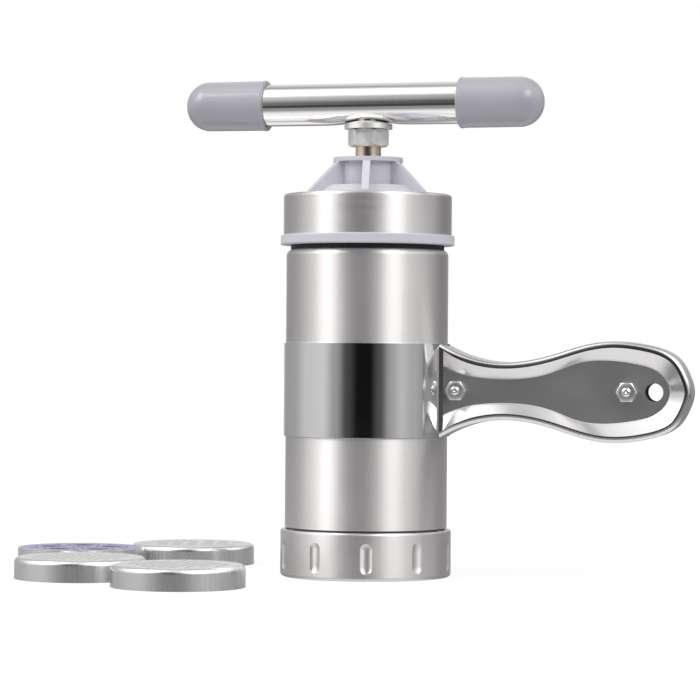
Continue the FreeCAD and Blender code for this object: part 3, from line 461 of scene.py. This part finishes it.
@dataclass(frozen=True)
class PressedSteel:
    """Polished sheet whose sunken web is rougher than its rim, with painted shade darkening the web's
    colour.
    """

    name: str
    color: Color
    # Colour of the sunken web: the rim's steel darkened as painted shade
    web_painted_shade_color: Color
    rim_roughness: float
    web_roughness: float
    web_depth: float
    near: float = 0.1
    step: float = 0.7
    marks: float = 1500.0
    smudges: float = 60.0
    smudge_depth: float = 0.02
    relief: float = 0.000004
    strength: float = 0.3

    def material(self) -> bpy.types.Material:
        """Builds the sheet's polish, its rougher web with painted shade in its colour, and faint rolling
        marks.

        Returns:
            The material.
        """
        graph = new_material(self.name)
        vector = graph.place(Vector())
        parts = graph.node("SeparateXYZ")
        graph.join(vector, parts.inputs[0])
        depth = graph.value("ABSOLUTE", parts.outputs[1])
        # Where the web gives way to the rim; this sets both the web's roughness and its painted shade
        rise = ((self.web_depth + self.near) * MM, (self.web_depth + self.step) * MM)
        marks = graph.noise(grain_vector(graph, Grain.ALONG, Vector(), 0.0, self.marks), 1.0, 3.0)
        smudge = graph.noise(vector, self.smudges, 3.0)
        shader = graph.node("BsdfPrincipled")
        shader.inputs["Metallic"].default_value = 1.0
        # Painted shade: the sunken web gets a darker colour than the rim
        graph.join(graph.tint(graph.smooth(depth, rise), self.web_painted_shade_color, self.color), shader.inputs["Base Color"])
        rough = graph.smooth(depth, rise, (self.web_roughness, self.rim_roughness))
        uneven = graph.spread(smudge, -self.smudge_depth, self.smudge_depth)
        graph.join(graph.value("ADD", rough, uneven), shader.inputs["Roughness"])
        graph.join(graph.skin(marks, self.strength, self.relief).outputs[0], shader.inputs["Normal"])
        return graph.finish(shader.outputs[0])


def settle(name: str, shape: bmesh.types.BMesh, finish: bpy.types.Material, body: str, nodes: Sequence[str]) -> bpy.types.Object:
    """Makes a finished piece of a shape that stands for solid nodes.

    Args:
        name: The piece's name.
        shape: Its shape, in millimetres about the model's origin, which is freed.
        finish: Its material.
        body: The body that it rides on.
        nodes: The nodes that it stands for.

    Returns:
        The piece.
    """
    bmesh.ops.remove_doubles(shape, verts=shape.verts, dist=SAME_POINT)
    bmesh.ops.recalc_face_normals(shape, faces=shape.faces)
    bmesh.ops.scale(shape, vec=(MM, MM, MM), verts=shape.verts)
    for face in shape.faces:
        face.smooth = True
    for edge in shape.edges:
        edge.smooth = len(edge.link_faces) == 2 and edge.calc_face_angle(0.0) < CRISP
    mesh = bpy.data.meshes.new(name)
    shape.to_mesh(mesh)
    shape.free()
    mesh.materials.append(finish)
    item = bpy.data.objects.new(name, mesh)
    bpy.context.scene.collection.objects.link(item)
    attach(item, body)
    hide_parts(*nodes)
    log.info("%s made", name)
    return item


def lathe(outline: Sequence[Pair], rounds: dict[int, tuple[float, int]], segments: int = 96,
          closed: bool = True) -> bmesh.types.BMesh:
    """Spins an outline about Z, with chosen corners rounded first.

    Args:
        outline: Radius and height of each corner, in millimetres.
        rounds: Radius and number of steps of each round, by the corner's index.
        segments: Steps round the axis.
        closed: Whether the outline's end joins its start.

    Returns:
        The spun shape.
    """
    shape = bmesh.new()
    corners_made = [shape.verts.new((radius, 0.0, height)) for radius, height in outline]
    pairs = list(zip(corners_made, corners_made[1:]))
    if closed:
        pairs.append((corners_made[-1], corners_made[0]))
    for first, second in pairs:
        shape.edges.new((first, second))
    for index, (radius, steps) in rounds.items():
        bmesh.ops.bevel(shape, geom=[corners_made[index]], offset=radius, offset_type="OFFSET",
                        segments=steps, profile=0.5, affect="VERTICES", material=-1)
    bmesh.ops.spin(shape, geom=shape.verts[:] + shape.edges[:], cent=(0, 0, 0), axis=(0, 0, 1),
                   angle=2 * math.pi, steps=segments, use_merge=True)
    bmesh.ops.remove_doubles(shape, verts=shape.verts, dist=SAME_POINT)
    return shape


def hexagon_nut(flats: float, bore: float, tall: float, first_corner: float) -> bmesh.types.BMesh:
    """A chamfered hexagon nut: a turned blank with six flats cut on it.

    Args:
        flats: Its width across flats, in millimetres.
        bore: Its bore's radius.
        tall: Its height.
        first_corner: The direction of a corner, in radians.

    Returns:
        The nut, standing on Z = 0.
    """
    corner = flats / math.sqrt(3)
    face = flats / 2 * NUT_FACE_SHARE
    chamfer = (corner - face) * math.tan(NUT_CHAMFER)
    outline = [(bore, 0.0), (face, 0.0), (corner, chamfer), (corner, tall - chamfer), (face, tall),
               (bore, tall)]
    shape = lathe(outline, {})
    for side in range(NUT_SIDES):
        way = first_corner + 2 * math.pi * (side + 0.5) / NUT_SIDES
        normal = Vector((math.cos(way), math.sin(way), 0.0))
        geometry = shape.verts[:] + shape.edges[:] + shape.faces[:]
        cut = bmesh.ops.bisect_plane(shape, geom=geometry, dist=CUT_REACH, plane_co=normal * flats / 2,
                                     plane_no=normal, clear_outer=True)
        rim = [item for item in cut["geom_cut"] if isinstance(item, bmesh.types.BMEdge)]
        bmesh.ops.holes_fill(shape, edges=rim, sides=0)
    return shape


def turn_about(shape: bmesh.types.BMesh, axis: str, angle: float) -> None:
    """Turns a shape about an axis through the origin.

    Args:
        shape: The shape.
        axis: The axis's letter.
        angle: The turn, in radians.
    """
    bmesh.ops.rotate(shape, verts=shape.verts, cent=(0, 0, 0), matrix=Matrix.Rotation(angle, 3, axis))


def shift(shape: bmesh.types.BMesh, x: float = 0.0, z: float = 0.0) -> None:
    """Moves a shape along X and Z, in millimetres."""
    bmesh.ops.translate(shape, verts=shape.verts, vec=(x, 0.0, z))


def lay_forward(shape: bmesh.types.BMesh) -> None:
    """Turns a shape that stands on Z so that it points to -Y."""
    turn_about(shape, "X", math.pi / 2)


def repeat_at(shape: bmesh.types.BMesh, spots: Sequence[Vector]) -> None:
    """Copies a shape to each of several places.

    Args:
        shape: The shape, about the origin.
        spots: The places, in millimetres.
    """
    first = shape.verts[:] + shape.edges[:] + shape.faces[:]
    for spot in spots[1:]:
        copy = bmesh.ops.duplicate(shape, geom=first)["geom"]
        points = [item for item in copy if isinstance(item, bmesh.types.BMVert)]
        bmesh.ops.translate(shape, verts=points, vec=spot)
    bmesh.ops.translate(shape, verts=[item for item in first if isinstance(item, bmesh.types.BMVert)],
                        vec=spots[0])


@dataclass
class Barrel:
    """The brushed tube, its liner and the bright band round it."""

    brushed: Color = STEEL_COLOR
    mirror: Color = (0.72, 0.715, 0.72)

    def dress(self) -> None:
        """Gives the barrel's nodes their finishes."""
        tube = Steel("brushed_tube", self.brushed, 0.41, Grain.AROUND, anisotropy=0.88, contrast=0.03)
        wear("barrel_shell", tube.material())
        wear("barrel_liner", Plastic("liner_plastic", LILAC).material())
        mirror = Steel("mirror_band", self.mirror, 0.09, Grain.AROUND, 2500.0, contrast=0.02,
                       relief=0.000002)
        wear("clamp_band", mirror.material())


@dataclass
class SideHandle:
    """Two pressed shells held by two bolts with nuts on the front, with lengths in millimetres."""

    steel: Color = (0.73, 0.71, 0.71)
    # Painted shade: the web's darker colour stands in for shade in the recess
    web_painted_shade_color: Color = (0.66, 0.65, 0.66)
    web_depth: float = 8.5
    bolt_radius: float = 2.0
    bolt_past: float = 4.8
    head_radius: float = 4.2
    head_thick: float = 2.4
    pit_radius: float = 0.55
    nut_flats: float = 7.6
    nut_thick: float = 3.0
    head_round: float = 1.9
    end_round: float = 1.35
    pit_round: float = 0.12
    nut_play: float = 0.05
    zinc: Color = (0.90, 0.90, 0.89)

    def spots(self) -> list[Vector]:
        """The places of the two bolts, on the handle's middle plane, in millimetres."""
        low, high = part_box("handle_nuts")
        half = self.nut_flats / math.sqrt(3)
        middle_z = (low[2] + high[2]) / 2 / MM
        return [Vector((low[0] / MM + half, 0.0, middle_z)), Vector((high[0] / MM - half, 0.0, middle_z))]

    def bolts(self) -> bmesh.types.BMesh:
        """Two bolts, each with a low head at the back and a domed end with a centre mark."""
        back = -self.web_depth
        end = self.web_depth + self.bolt_past
        head_end = back - self.head_thick
        outline = [(0.0, head_end), (self.head_radius, head_end), (self.head_radius, back),
                   (self.bolt_radius, back), (self.bolt_radius, end), (self.pit_radius, end),
                   (0.0, end - self.pit_radius)]
        rounds = {1: (self.head_round, 8), 4: (self.end_round, 8), 5: (self.pit_round, 2)}
        shape = lathe(outline, rounds, 48, closed=False)
        lay_forward(shape)
        repeat_at(shape, self.spots())
        return shape

    def nuts(self) -> bmesh.types.BMesh:
        """Two hexagon nuts against the front shell's web."""
        shape = hexagon_nut(self.nut_flats, self.bolt_radius + self.nut_play, self.nut_thick, 0.0)
        shift(shape, z=self.web_depth)
        lay_forward(shape)
        repeat_at(shape, self.spots())
        return shape

    def dress(self) -> None:
        """Gives the handle its finishes, its bolts and its nuts."""
        # The shells' darker web colour is painted shade; the web's higher roughness is the finish
        shell = PressedSteel("pressed_steel_painted_web_shade", self.steel, self.web_painted_shade_color, 0.19, 0.36, self.web_depth).material()
        for node in ("handle_shell_front", "handle_shell_back"):
            wear(node, shell)
        bright = Steel("bright_zinc", self.zinc, 0.20, contrast=0.05, relief=0.000006).material()
        for node in ("clamp_spacer", "grip_spacer"):
            wear(node, bright)
        settle("domed_bolts", self.bolts(), bright, "barrel", ["handle_bolts"])
        dull = Steel("nut_plating", self.zinc, 0.34, contrast=0.05, relief=0.000008).material()
        settle("hexagon_nuts", self.nuts(), dull, "barrel", ["handle_nuts"])


@dataclass
class TopCap:
    """The moulded cap with its ribs and bush, inside a brushed ring."""

    plastic: Color = LILAC
    brass: Color = (0.78, 0.56, 0.25)

    def dress(self) -> None:
        """Gives the cap's nodes their finishes."""
        wear("cap_hub", Plastic("hub_plastic", self.plastic, edge=0.0006).material())
        ring = Steel("brushed_ring", STEEL_COLOR, 0.39, Grain.AROUND, anisotropy=0.88, contrast=0.03)
        wear("cap_ring", ring.material())
        wear("thread_bush", Steel("brass_bush", self.brass, 0.25, contrast=0.05).material())
        wear("neck_seal", Plastic("seal_rubber", RUBBER, roughness=0.55).material())


@dataclass
class Crank:
    """The screw, its nut and washer, and the T bar with its two grips, with lengths in millimetres."""

    grip: Color = (0.35, 0.345, 0.38)
    rest_turn: float = math.radians(-5.0)
    tube_radius: float = 8.8
    tube_wall: float = 1.2
    dent: float = 2.0
    dent_reach: float = 23.0
    soften: float = 0.7
    stations: int = 92
    reach: Pair = (79.9, 75.3)
    grip_length: float = 35.5
    grip_sink: float = 23.0
    grip_wall: float = 1.88
    grip_draft: float = 0.3
    mouth_round: float = 0.6
    lip_long: float = 1.5
    lip_step: float = 0.2
    tip_flat: float = 0.4
    nut_flats: float = 15.3
    nut_corner: float = math.radians(-4.0)
    screw_radius: float = 5.4
    fit: float = 0.05
    mouth_inside: float = 0.3
    lip_round: float = 0.3
    steel: Color = (0.88, 0.87, 0.86)
    zinc: Color = (0.99, 0.99, 0.98)
    screw: Color = (0.80, 0.66, 0.56)

    def axis_height(self) -> float:
        """The height of the tube's axis, in millimetres."""
        return middle("end_cap_left").z / MM

    def tube(self) -> bmesh.types.BMesh:
        """The hollow bar, pressed flatter from below where it sits on the washer."""
        left = -(self.reach[0] - self.grip_length + self.grip_sink)
        right = self.reach[1] - self.grip_length + self.grip_sink
        shape = bmesh.new()
        bmesh.ops.create_circle(shape, cap_ends=False, radius=self.tube_radius, segments=96)
        turn_about(shape, "Y", math.pi / 2)
        shift(shape, x=left)
        rim = shape.edges[:]
        for _ in range(self.stations):
            made = bmesh.ops.extrude_edge_only(shape, edges=rim)["geom"]
            rim = [item for item in made if isinstance(item, bmesh.types.BMEdge)]
            points = [item for item in made if isinstance(item, bmesh.types.BMVert)]
            bmesh.ops.translate(shape, verts=points, vec=((right - left) / self.stations, 0.0, 0.0))
        # Away from the dent the pressing floor lies this far below the tube, where it changes nothing
        spare = 3.0 * self.soften
        for point in shape.verts:
            share = 0.5 + 0.5 * math.cos(math.pi * min(1.0, abs(point.co.x) / self.dent_reach))
            floor = -(self.tube_radius + spare) + (self.dent + spare) * share
            point.co.z = floor + self.soften * math.log1p(math.exp((point.co.z - floor) / self.soften))
        under = [face for face in shape.faces if face.calc_center_median().z < 0.0
                 and face.calc_center_median().xy.length < self.screw_radius]
        bmesh.ops.delete(shape, geom=under, context="FACES")
        bmesh.ops.recalc_face_normals(shape, faces=shape.faces)
        bmesh.ops.solidify(shape, geom=shape.faces[:], thickness=self.tube_wall)
        return self.put(shape)

    def put(self, shape: bmesh.types.BMesh) -> bmesh.types.BMesh:
        """Turns a shape with the crank and lifts it to the tube's axis."""
        turn_about(shape, "Z", self.rest_turn)
        shift(shape, z=self.axis_height())
        return shape

    def end_grip(self, side: int, reach: float) -> bmesh.types.BMesh:
        """One push-on grip with a rounded mouth and a nearly round nose.

        Args:
            side: 1 for the right one, -1 for the left one.
            reach: How far its nose is from the screw.

        Returns:
            The grip.
        """
        bore = self.tube_radius + self.fit
        wide = self.tube_radius + self.grip_wall
        nose = wide - self.grip_draft
        mouth = reach - self.grip_length
        floor = mouth + self.grip_sink + self.fit
        lip = mouth + self.lip_long
        neck = wide - self.lip_step
        outline = [(0.0, floor), (bore, floor), (bore, mouth), (wide, mouth), (wide, lip),
                   (neck, lip + self.lip_step), (nose, reach), (0.0, reach)]
        rounds = {2: (self.mouth_inside, 3), 3: (self.mouth_round, 6), 4: (self.lip_round, 3),
                  6: (nose - self.tip_flat, 24)}
        shape = lathe(outline, rounds, closed=False)
        turn_about(shape, "Y", side * math.pi / 2)
        return self.put(shape)

    def nut(self) -> bmesh.types.BMesh:
        """The lock nut with both its faces chamfered."""
        low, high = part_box("lock_nut")
        tall = (high[2] - low[2]) / MM
        shape = hexagon_nut(self.nut_flats, self.screw_radius + self.fit, tall, self.nut_corner)
        shift(shape, z=low[2] / MM)
        return shape

    def dress(self) -> None:
        """Gives the crank its finishes, its bar, its grips and its nut."""
        wear("lead_screw", Steel("screw_steel", self.screw, 0.24).material())
        zinc = Steel("nut_zinc", self.zinc, 0.50, contrast=0.05, relief=0.000008).material()
        for node in ("seat_washer", "tube_insert"):
            wear(node, zinc)
        settle("lock_nut_chamfered", self.nut(), zinc, "crank", ["lock_nut"])
        bright = Steel("bright_tube", self.steel, 0.07, contrast=0.02, relief=0.000002).material()
        settle("crank_bar", self.tube(), bright, "crank", ["crank_tube"])
        grip = Plastic("grip_plastic", self.grip, roughness=0.22).material()
        left, right = self.end_grip(-1, self.reach[0]), self.end_grip(1, self.reach[1])
        settle("grip_left", left, grip, "crank", ["end_cap_left"])
        settle("grip_right", right, grip, "crank", ["end_cap_right"])


@dataclass
class Piston:
    """The disc that the screw drives down the bore."""

    plastic: Color = LILAC

    def dress(self) -> None:
        """Gives the piston's nodes their finishes."""
        wear("piston_disc", Plastic("piston_plastic", self.plastic).material())
        wear("piston_plate", Steel("plate_steel", STEEL_COLOR, 0.25, Grain.AROUND).material())
        wear("piston_seal", Plastic("piston_rubber", RUBBER, roughness=0.55).material())
        zinc = Steel("cover_zinc", (0.82, 0.82, 0.81), 0.2).material()
        for node in ("swivel_cover", "cover_screws"):
            wear(node, zinc)


@dataclass
class BaseCap:
    """The threaded steel cap with its grip dimples, and what it holds."""

    steel: Color = STEEL_COLOR

    def dress(self) -> None:
        """Gives the base cap's nodes their finishes."""
        shell = Steel("brushed_base", self.steel, 0.38, Grain.AROUND, anisotropy=0.84, contrast=0.03)
        wear("base_cap_shell", shell.material())
        wear("base_cap_ring", Plastic("ring_plastic", LILAC).material())
        wear("die_gasket", Plastic("gasket_rubber", RUBBER, roughness=0.55).material())


@dataclass
class DieSet:
    """The five dies, one in the base cap and four beside the press."""

    steel: Color = (0.86, 0.855, 0.85)
    cups: tuple[str, ...] = ("die_large_holes", "die_slots", "die_small_holes", "die_medium_holes",
                             "die_tubes_cup")
    insert: Color = (0.30, 0.28, 0.42)
    # Each die's lines run this much further round than the last one's, in radians
    turn_step: float = 0.5

    def dress(self) -> None:
        """Gives each die its own satin face, centred on the die."""
        for index, node in enumerate(self.cups):
            finish = Steel("satin_" + node, self.steel, 0.27, Grain.FACE, 2600.0, center=middle(node),
                           turn=self.turn_step * index, contrast=0.04, relief=0.000004)
            wear(node, finish.material())
        insert = Plastic("insert_plastic", self.insert, roughness=0.38, edge=0.0003)
        wear("die_tubes_insert", insert.material())


@dataclass(frozen=True)
class Lamp:
    """A square lamp's place in the picture, in metres, its side length and its power."""

    name: str
    side: float
    front: float
    up: float
    size: float
    watts: float


@dataclass
class Studio:
    """A white surface, soft lamps and the camera of the picture."""

    turn: float = math.radians(11.0)
    distance: float = 1.25
    height: float = 0.0947
    aside: float = 0.0071
    lens: float = 153.0
    roll: float = math.radians(0.4)
    clip: Pair = (0.05, 50.0)
    aim_height: float = 0.1
    lamps: tuple[Lamp, ...] = (Lamp("upper_left_lamp", -1.04, 0.46, 1.1, 0.7, 8.0),
                               Lamp("upper_right_lamp", 0.76, 0.90, 1.0, 0.6, 5.2))
    floor_size: float = 12.0
    # How bright the surface is, and how much of its light is even
    paper: float = 0.62
    glow: float = 1.1
    near_glow: float = 0.80
    gloss_glow: float = 0.7
    # Distances from the press over which the surface's glow turns even, and over which mirrors lose it
    fade: Pair = (0.25, 1.2)
    floor_seen: Pair = (0.30, 0.75)
    # Mirrors also lose this much of it at a slant
    floor_loss: float = 0.75
    graze: Pair = (0.22, 0.55)
    # Brightness of the surroundings below the surface
    under: float = 0.06
    # Heights of the direction, as sines: where the upper light sets in, the lower one ends, and the
    # ceiling and its darker crown set in
    rise: Pair = (0.08, 0.50)
    sink: Pair = (-0.12, -0.03)
    high: Pair = (0.60, 0.86)
    crown: Pair = (0.93, 0.99)
    crown_loss: float = 0.7
    # The ceiling is bright only on the camera's side
    ceiling_front: Pair = (-0.35, 0.05)
    # Brightness above eye level, by the direction from the camera's side in degrees
    above: tuple[Pair, ...] = (
        (-180.0, 0.05), (-142.0, 0.14), (-115.0, 0.44), (-94.0, 0.96), (-78.0, 1.10), (-56.0, 0.90),
        (-34.0, 0.28), (-16.0, 0.03), (0.0, 0.10), (14.0, 0.95), (30.0, 1.30), (52.0, 1.25), (80.0, 1.25),
        (108.0, 1.00), (138.0, 0.42), (180.0, 0.05))
    # Brightness at every height above the surface, by the same directions
    around: tuple[Pair, ...] = (
        (-180.0, 0.75), (-150.0, 0.40), (-120.0, 0.46), (-90.0, 0.74), (-64.0, 0.80), (-44.0, 0.42),
        (-28.0, 0.08), (-12.0, 0.006), (4.0, 0.006), (18.0, 0.10), (34.0, 0.46), (48.0, 0.66), (68.0, 0.52),
        (90.0, 0.36), (125.0, 0.19), (150.0, 0.30), (180.0, 0.75))

    def across(self) -> Vector:
        """The picture's direction to the right."""
        return Vector((math.cos(self.turn), math.sin(self.turn), 0.0))

    def towards(self) -> Vector:
        """The direction from the press to the camera."""
        return Vector((math.sin(self.turn), -math.cos(self.turn), 0.0))

    def camera(self) -> bpy.types.Object:
        """Sets up the camera level with the press.

        Returns:
            The camera.
        """
        data = bpy.data.cameras.new("picture_camera")
        data.lens = self.lens
        data.clip_start, data.clip_end = self.clip
        item = bpy.data.objects.new("picture_camera", data)
        bpy.context.scene.collection.objects.link(item)
        item.rotation_mode = "QUATERNION"
        level = self.towards() * self.distance - self.across() * self.aside
        item.location = level + Vector((0, 0, self.height))
        look = (-self.towards()).to_track_quat("-Z", "Y")
        item.rotation_quaternion = look @ Matrix.Rotation(self.roll, 3, "Z").to_quaternion()
        bpy.context.scene.camera = item
        return item

    def floor(self) -> bpy.types.Object:
        """Makes the white surface, which shows the press's shadow faintly.

        Returns:
            The surface.
        """
        mesh = bpy.data.meshes.new("white_surface")
        shape = bmesh.new()
        bmesh.ops.create_grid(shape, x_segments=1, y_segments=1, size=self.floor_size)
        shape.to_mesh(mesh)
        shape.free()
        item = bpy.data.objects.new("white_surface", mesh)
        bpy.context.scene.collection.objects.link(item)
        graph = new_material("white_surface")
        paper = graph.node("BsdfDiffuse")
        paper.inputs["Color"].default_value = (self.paper, self.paper, self.paper, 1.0)
        glow = graph.node("Emission")
        glow.inputs["Strength"].default_value = self.glow
        path = graph.node("LightPath")
        away = graph.node("VectorMath", operation="LENGTH")
        graph.join(graph.place(Vector()), away.inputs[0])
        straight = graph.value("MAXIMUM", path.outputs["Is Camera Ray"], path.outputs["Is Transmission Ray"])
        far = graph.smooth(away.outputs["Value"], self.fade, (self.near_glow, 1.0))
        share = graph.value("MAXIMUM", graph.value("MULTIPLY", straight, far),
                            graph.value("MULTIPLY", path.outputs["Is Glossy Ray"], self.gloss_glow))
        mix = graph.node("MixShader")
        graph.join(share, mix.inputs[0])
        graph.join(paper.outputs[0], mix.inputs[1])
        graph.join(glow.outputs[0], mix.inputs[2])
        grazing = graph.node("LayerWeight")
        grazing.inputs["Blend"].default_value = 0.5
        slant = graph.smooth(grazing.outputs["Facing"], self.graze, (0.0, self.floor_loss))
        past = graph.value("MAXIMUM", graph.smooth(away.outputs["Value"], self.floor_seen), slant)
        open_air = graph.node("BsdfTransparent")
        edge = graph.node("MixShader")
        graph.join(graph.value("MULTIPLY", path.outputs["Is Glossy Ray"], past), edge.inputs[0])
        graph.join(mix.outputs[0], edge.inputs[1])
        graph.join(open_air.outputs[0], edge.inputs[2])
        mesh.materials.append(graph.finish(edge.outputs[0]))
        return item

    def world(self) -> None:
        """Surrounds the press with a white ground, dark behind the camera and bright above."""
        world = bpy.data.worlds.new("studio")
        bpy.context.scene.world = world
        graph = Graph(world)
        coordinates = graph.node("TexCoord")
        parts = graph.node("SeparateXYZ")
        graph.join(coordinates.outputs["Generated"], parts.inputs[0])
        x, y, z = parts.outputs

        def along(way: Vector) -> Socket:
            """How far the direction points along a level way."""
            return graph.value("ADD", graph.value("MULTIPLY", x, way.x), graph.value("MULTIPLY", y, way.y))

        def blend(share: Socket, level: object) -> Socket:
            """Scales a level by what is left of a share."""
            return graph.value("MULTIPLY", level, graph.value("SUBTRACT", 1.0, share))

        front = along(self.towards())
        angle = graph.value("ARCTAN2", along(self.across()), front)
        direction = graph.value("ADD", graph.value("DIVIDE", angle, 2 * math.pi), 0.5)
        crown = graph.value("MULTIPLY", graph.smooth(z, self.crown), self.crown_loss)
        high = graph.smooth(z, self.high)
        ceiling = graph.value("MULTIPLY", high, graph.smooth(front, self.ceiling_front))
        sides = graph.value("ADD", blend(high, graph.ramp(direction, self.above)), ceiling)
        above = blend(crown, graph.value("MULTIPLY", graph.smooth(z, self.rise), sides))
        level_part = graph.smooth(z, self.sink)
        around = graph.value("MULTIPLY", level_part, graph.ramp(direction, self.around))
        level = graph.value("ADD", graph.value("ADD", around, blend(level_part, self.under)), above)
        path = graph.node("LightPath")
        seen = graph.value("MAXIMUM", path.outputs["Is Camera Ray"], path.outputs["Is Transmission Ray"])
        mix = graph.node("Mix", data_type="FLOAT")
        graph.join(seen, mix.inputs[0])
        graph.join(level, mix.inputs[2])
        mix.inputs[3].default_value = 1.0
        background = graph.node("Background")
        background.inputs["Color"].default_value = (1.0, 1.0, 1.0, 1.0)
        graph.join(mix.outputs[0], background.inputs["Strength"])
        graph.finish(background.outputs[0], "OutputWorld")

    def light(self, lamp: Lamp) -> bpy.types.Object:
        """Adds a square soft lamp aimed at the press.

        Args:
            lamp: The lamp's place, size and power.

        Returns:
            The lamp's object.
        """
        data = bpy.data.lights.new(lamp.name, "AREA")
        data.size = lamp.size
        data.energy = lamp.watts
        item = bpy.data.objects.new(lamp.name, data)
        bpy.context.scene.collection.objects.link(item)
        item.location = self.across() * lamp.side + self.towards() * lamp.front + Vector((0, 0, lamp.up))
        item.rotation_mode = "QUATERNION"
        aim = Vector((0, 0, self.aim_height)) - item.location
        item.rotation_quaternion = aim.to_track_quat("-Z", "Y")
        return item

    def build(self) -> None:
        """Sets up the whole studio."""
        self.floor()
        self.world()
        for lamp in self.lamps:
            self.light(lamp)
        self.camera()


def main() -> None:
    """Builds the sub-assemblies in order and reports each."""
    logging.basicConfig(level=logging.INFO, format="%(name)s: %(message)s")
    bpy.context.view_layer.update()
    bpy.context.scene.view_settings.view_transform = "Standard"
    for part in (Barrel(), SideHandle(), TopCap(), Crank(), Piston(), BaseCap(), DieSet()):
        part.dress()
        log.info("%s dressed", type(part).__name__)
    Studio().build()
    log.info("studio ready")


if __name__ == "__main__":
    main()
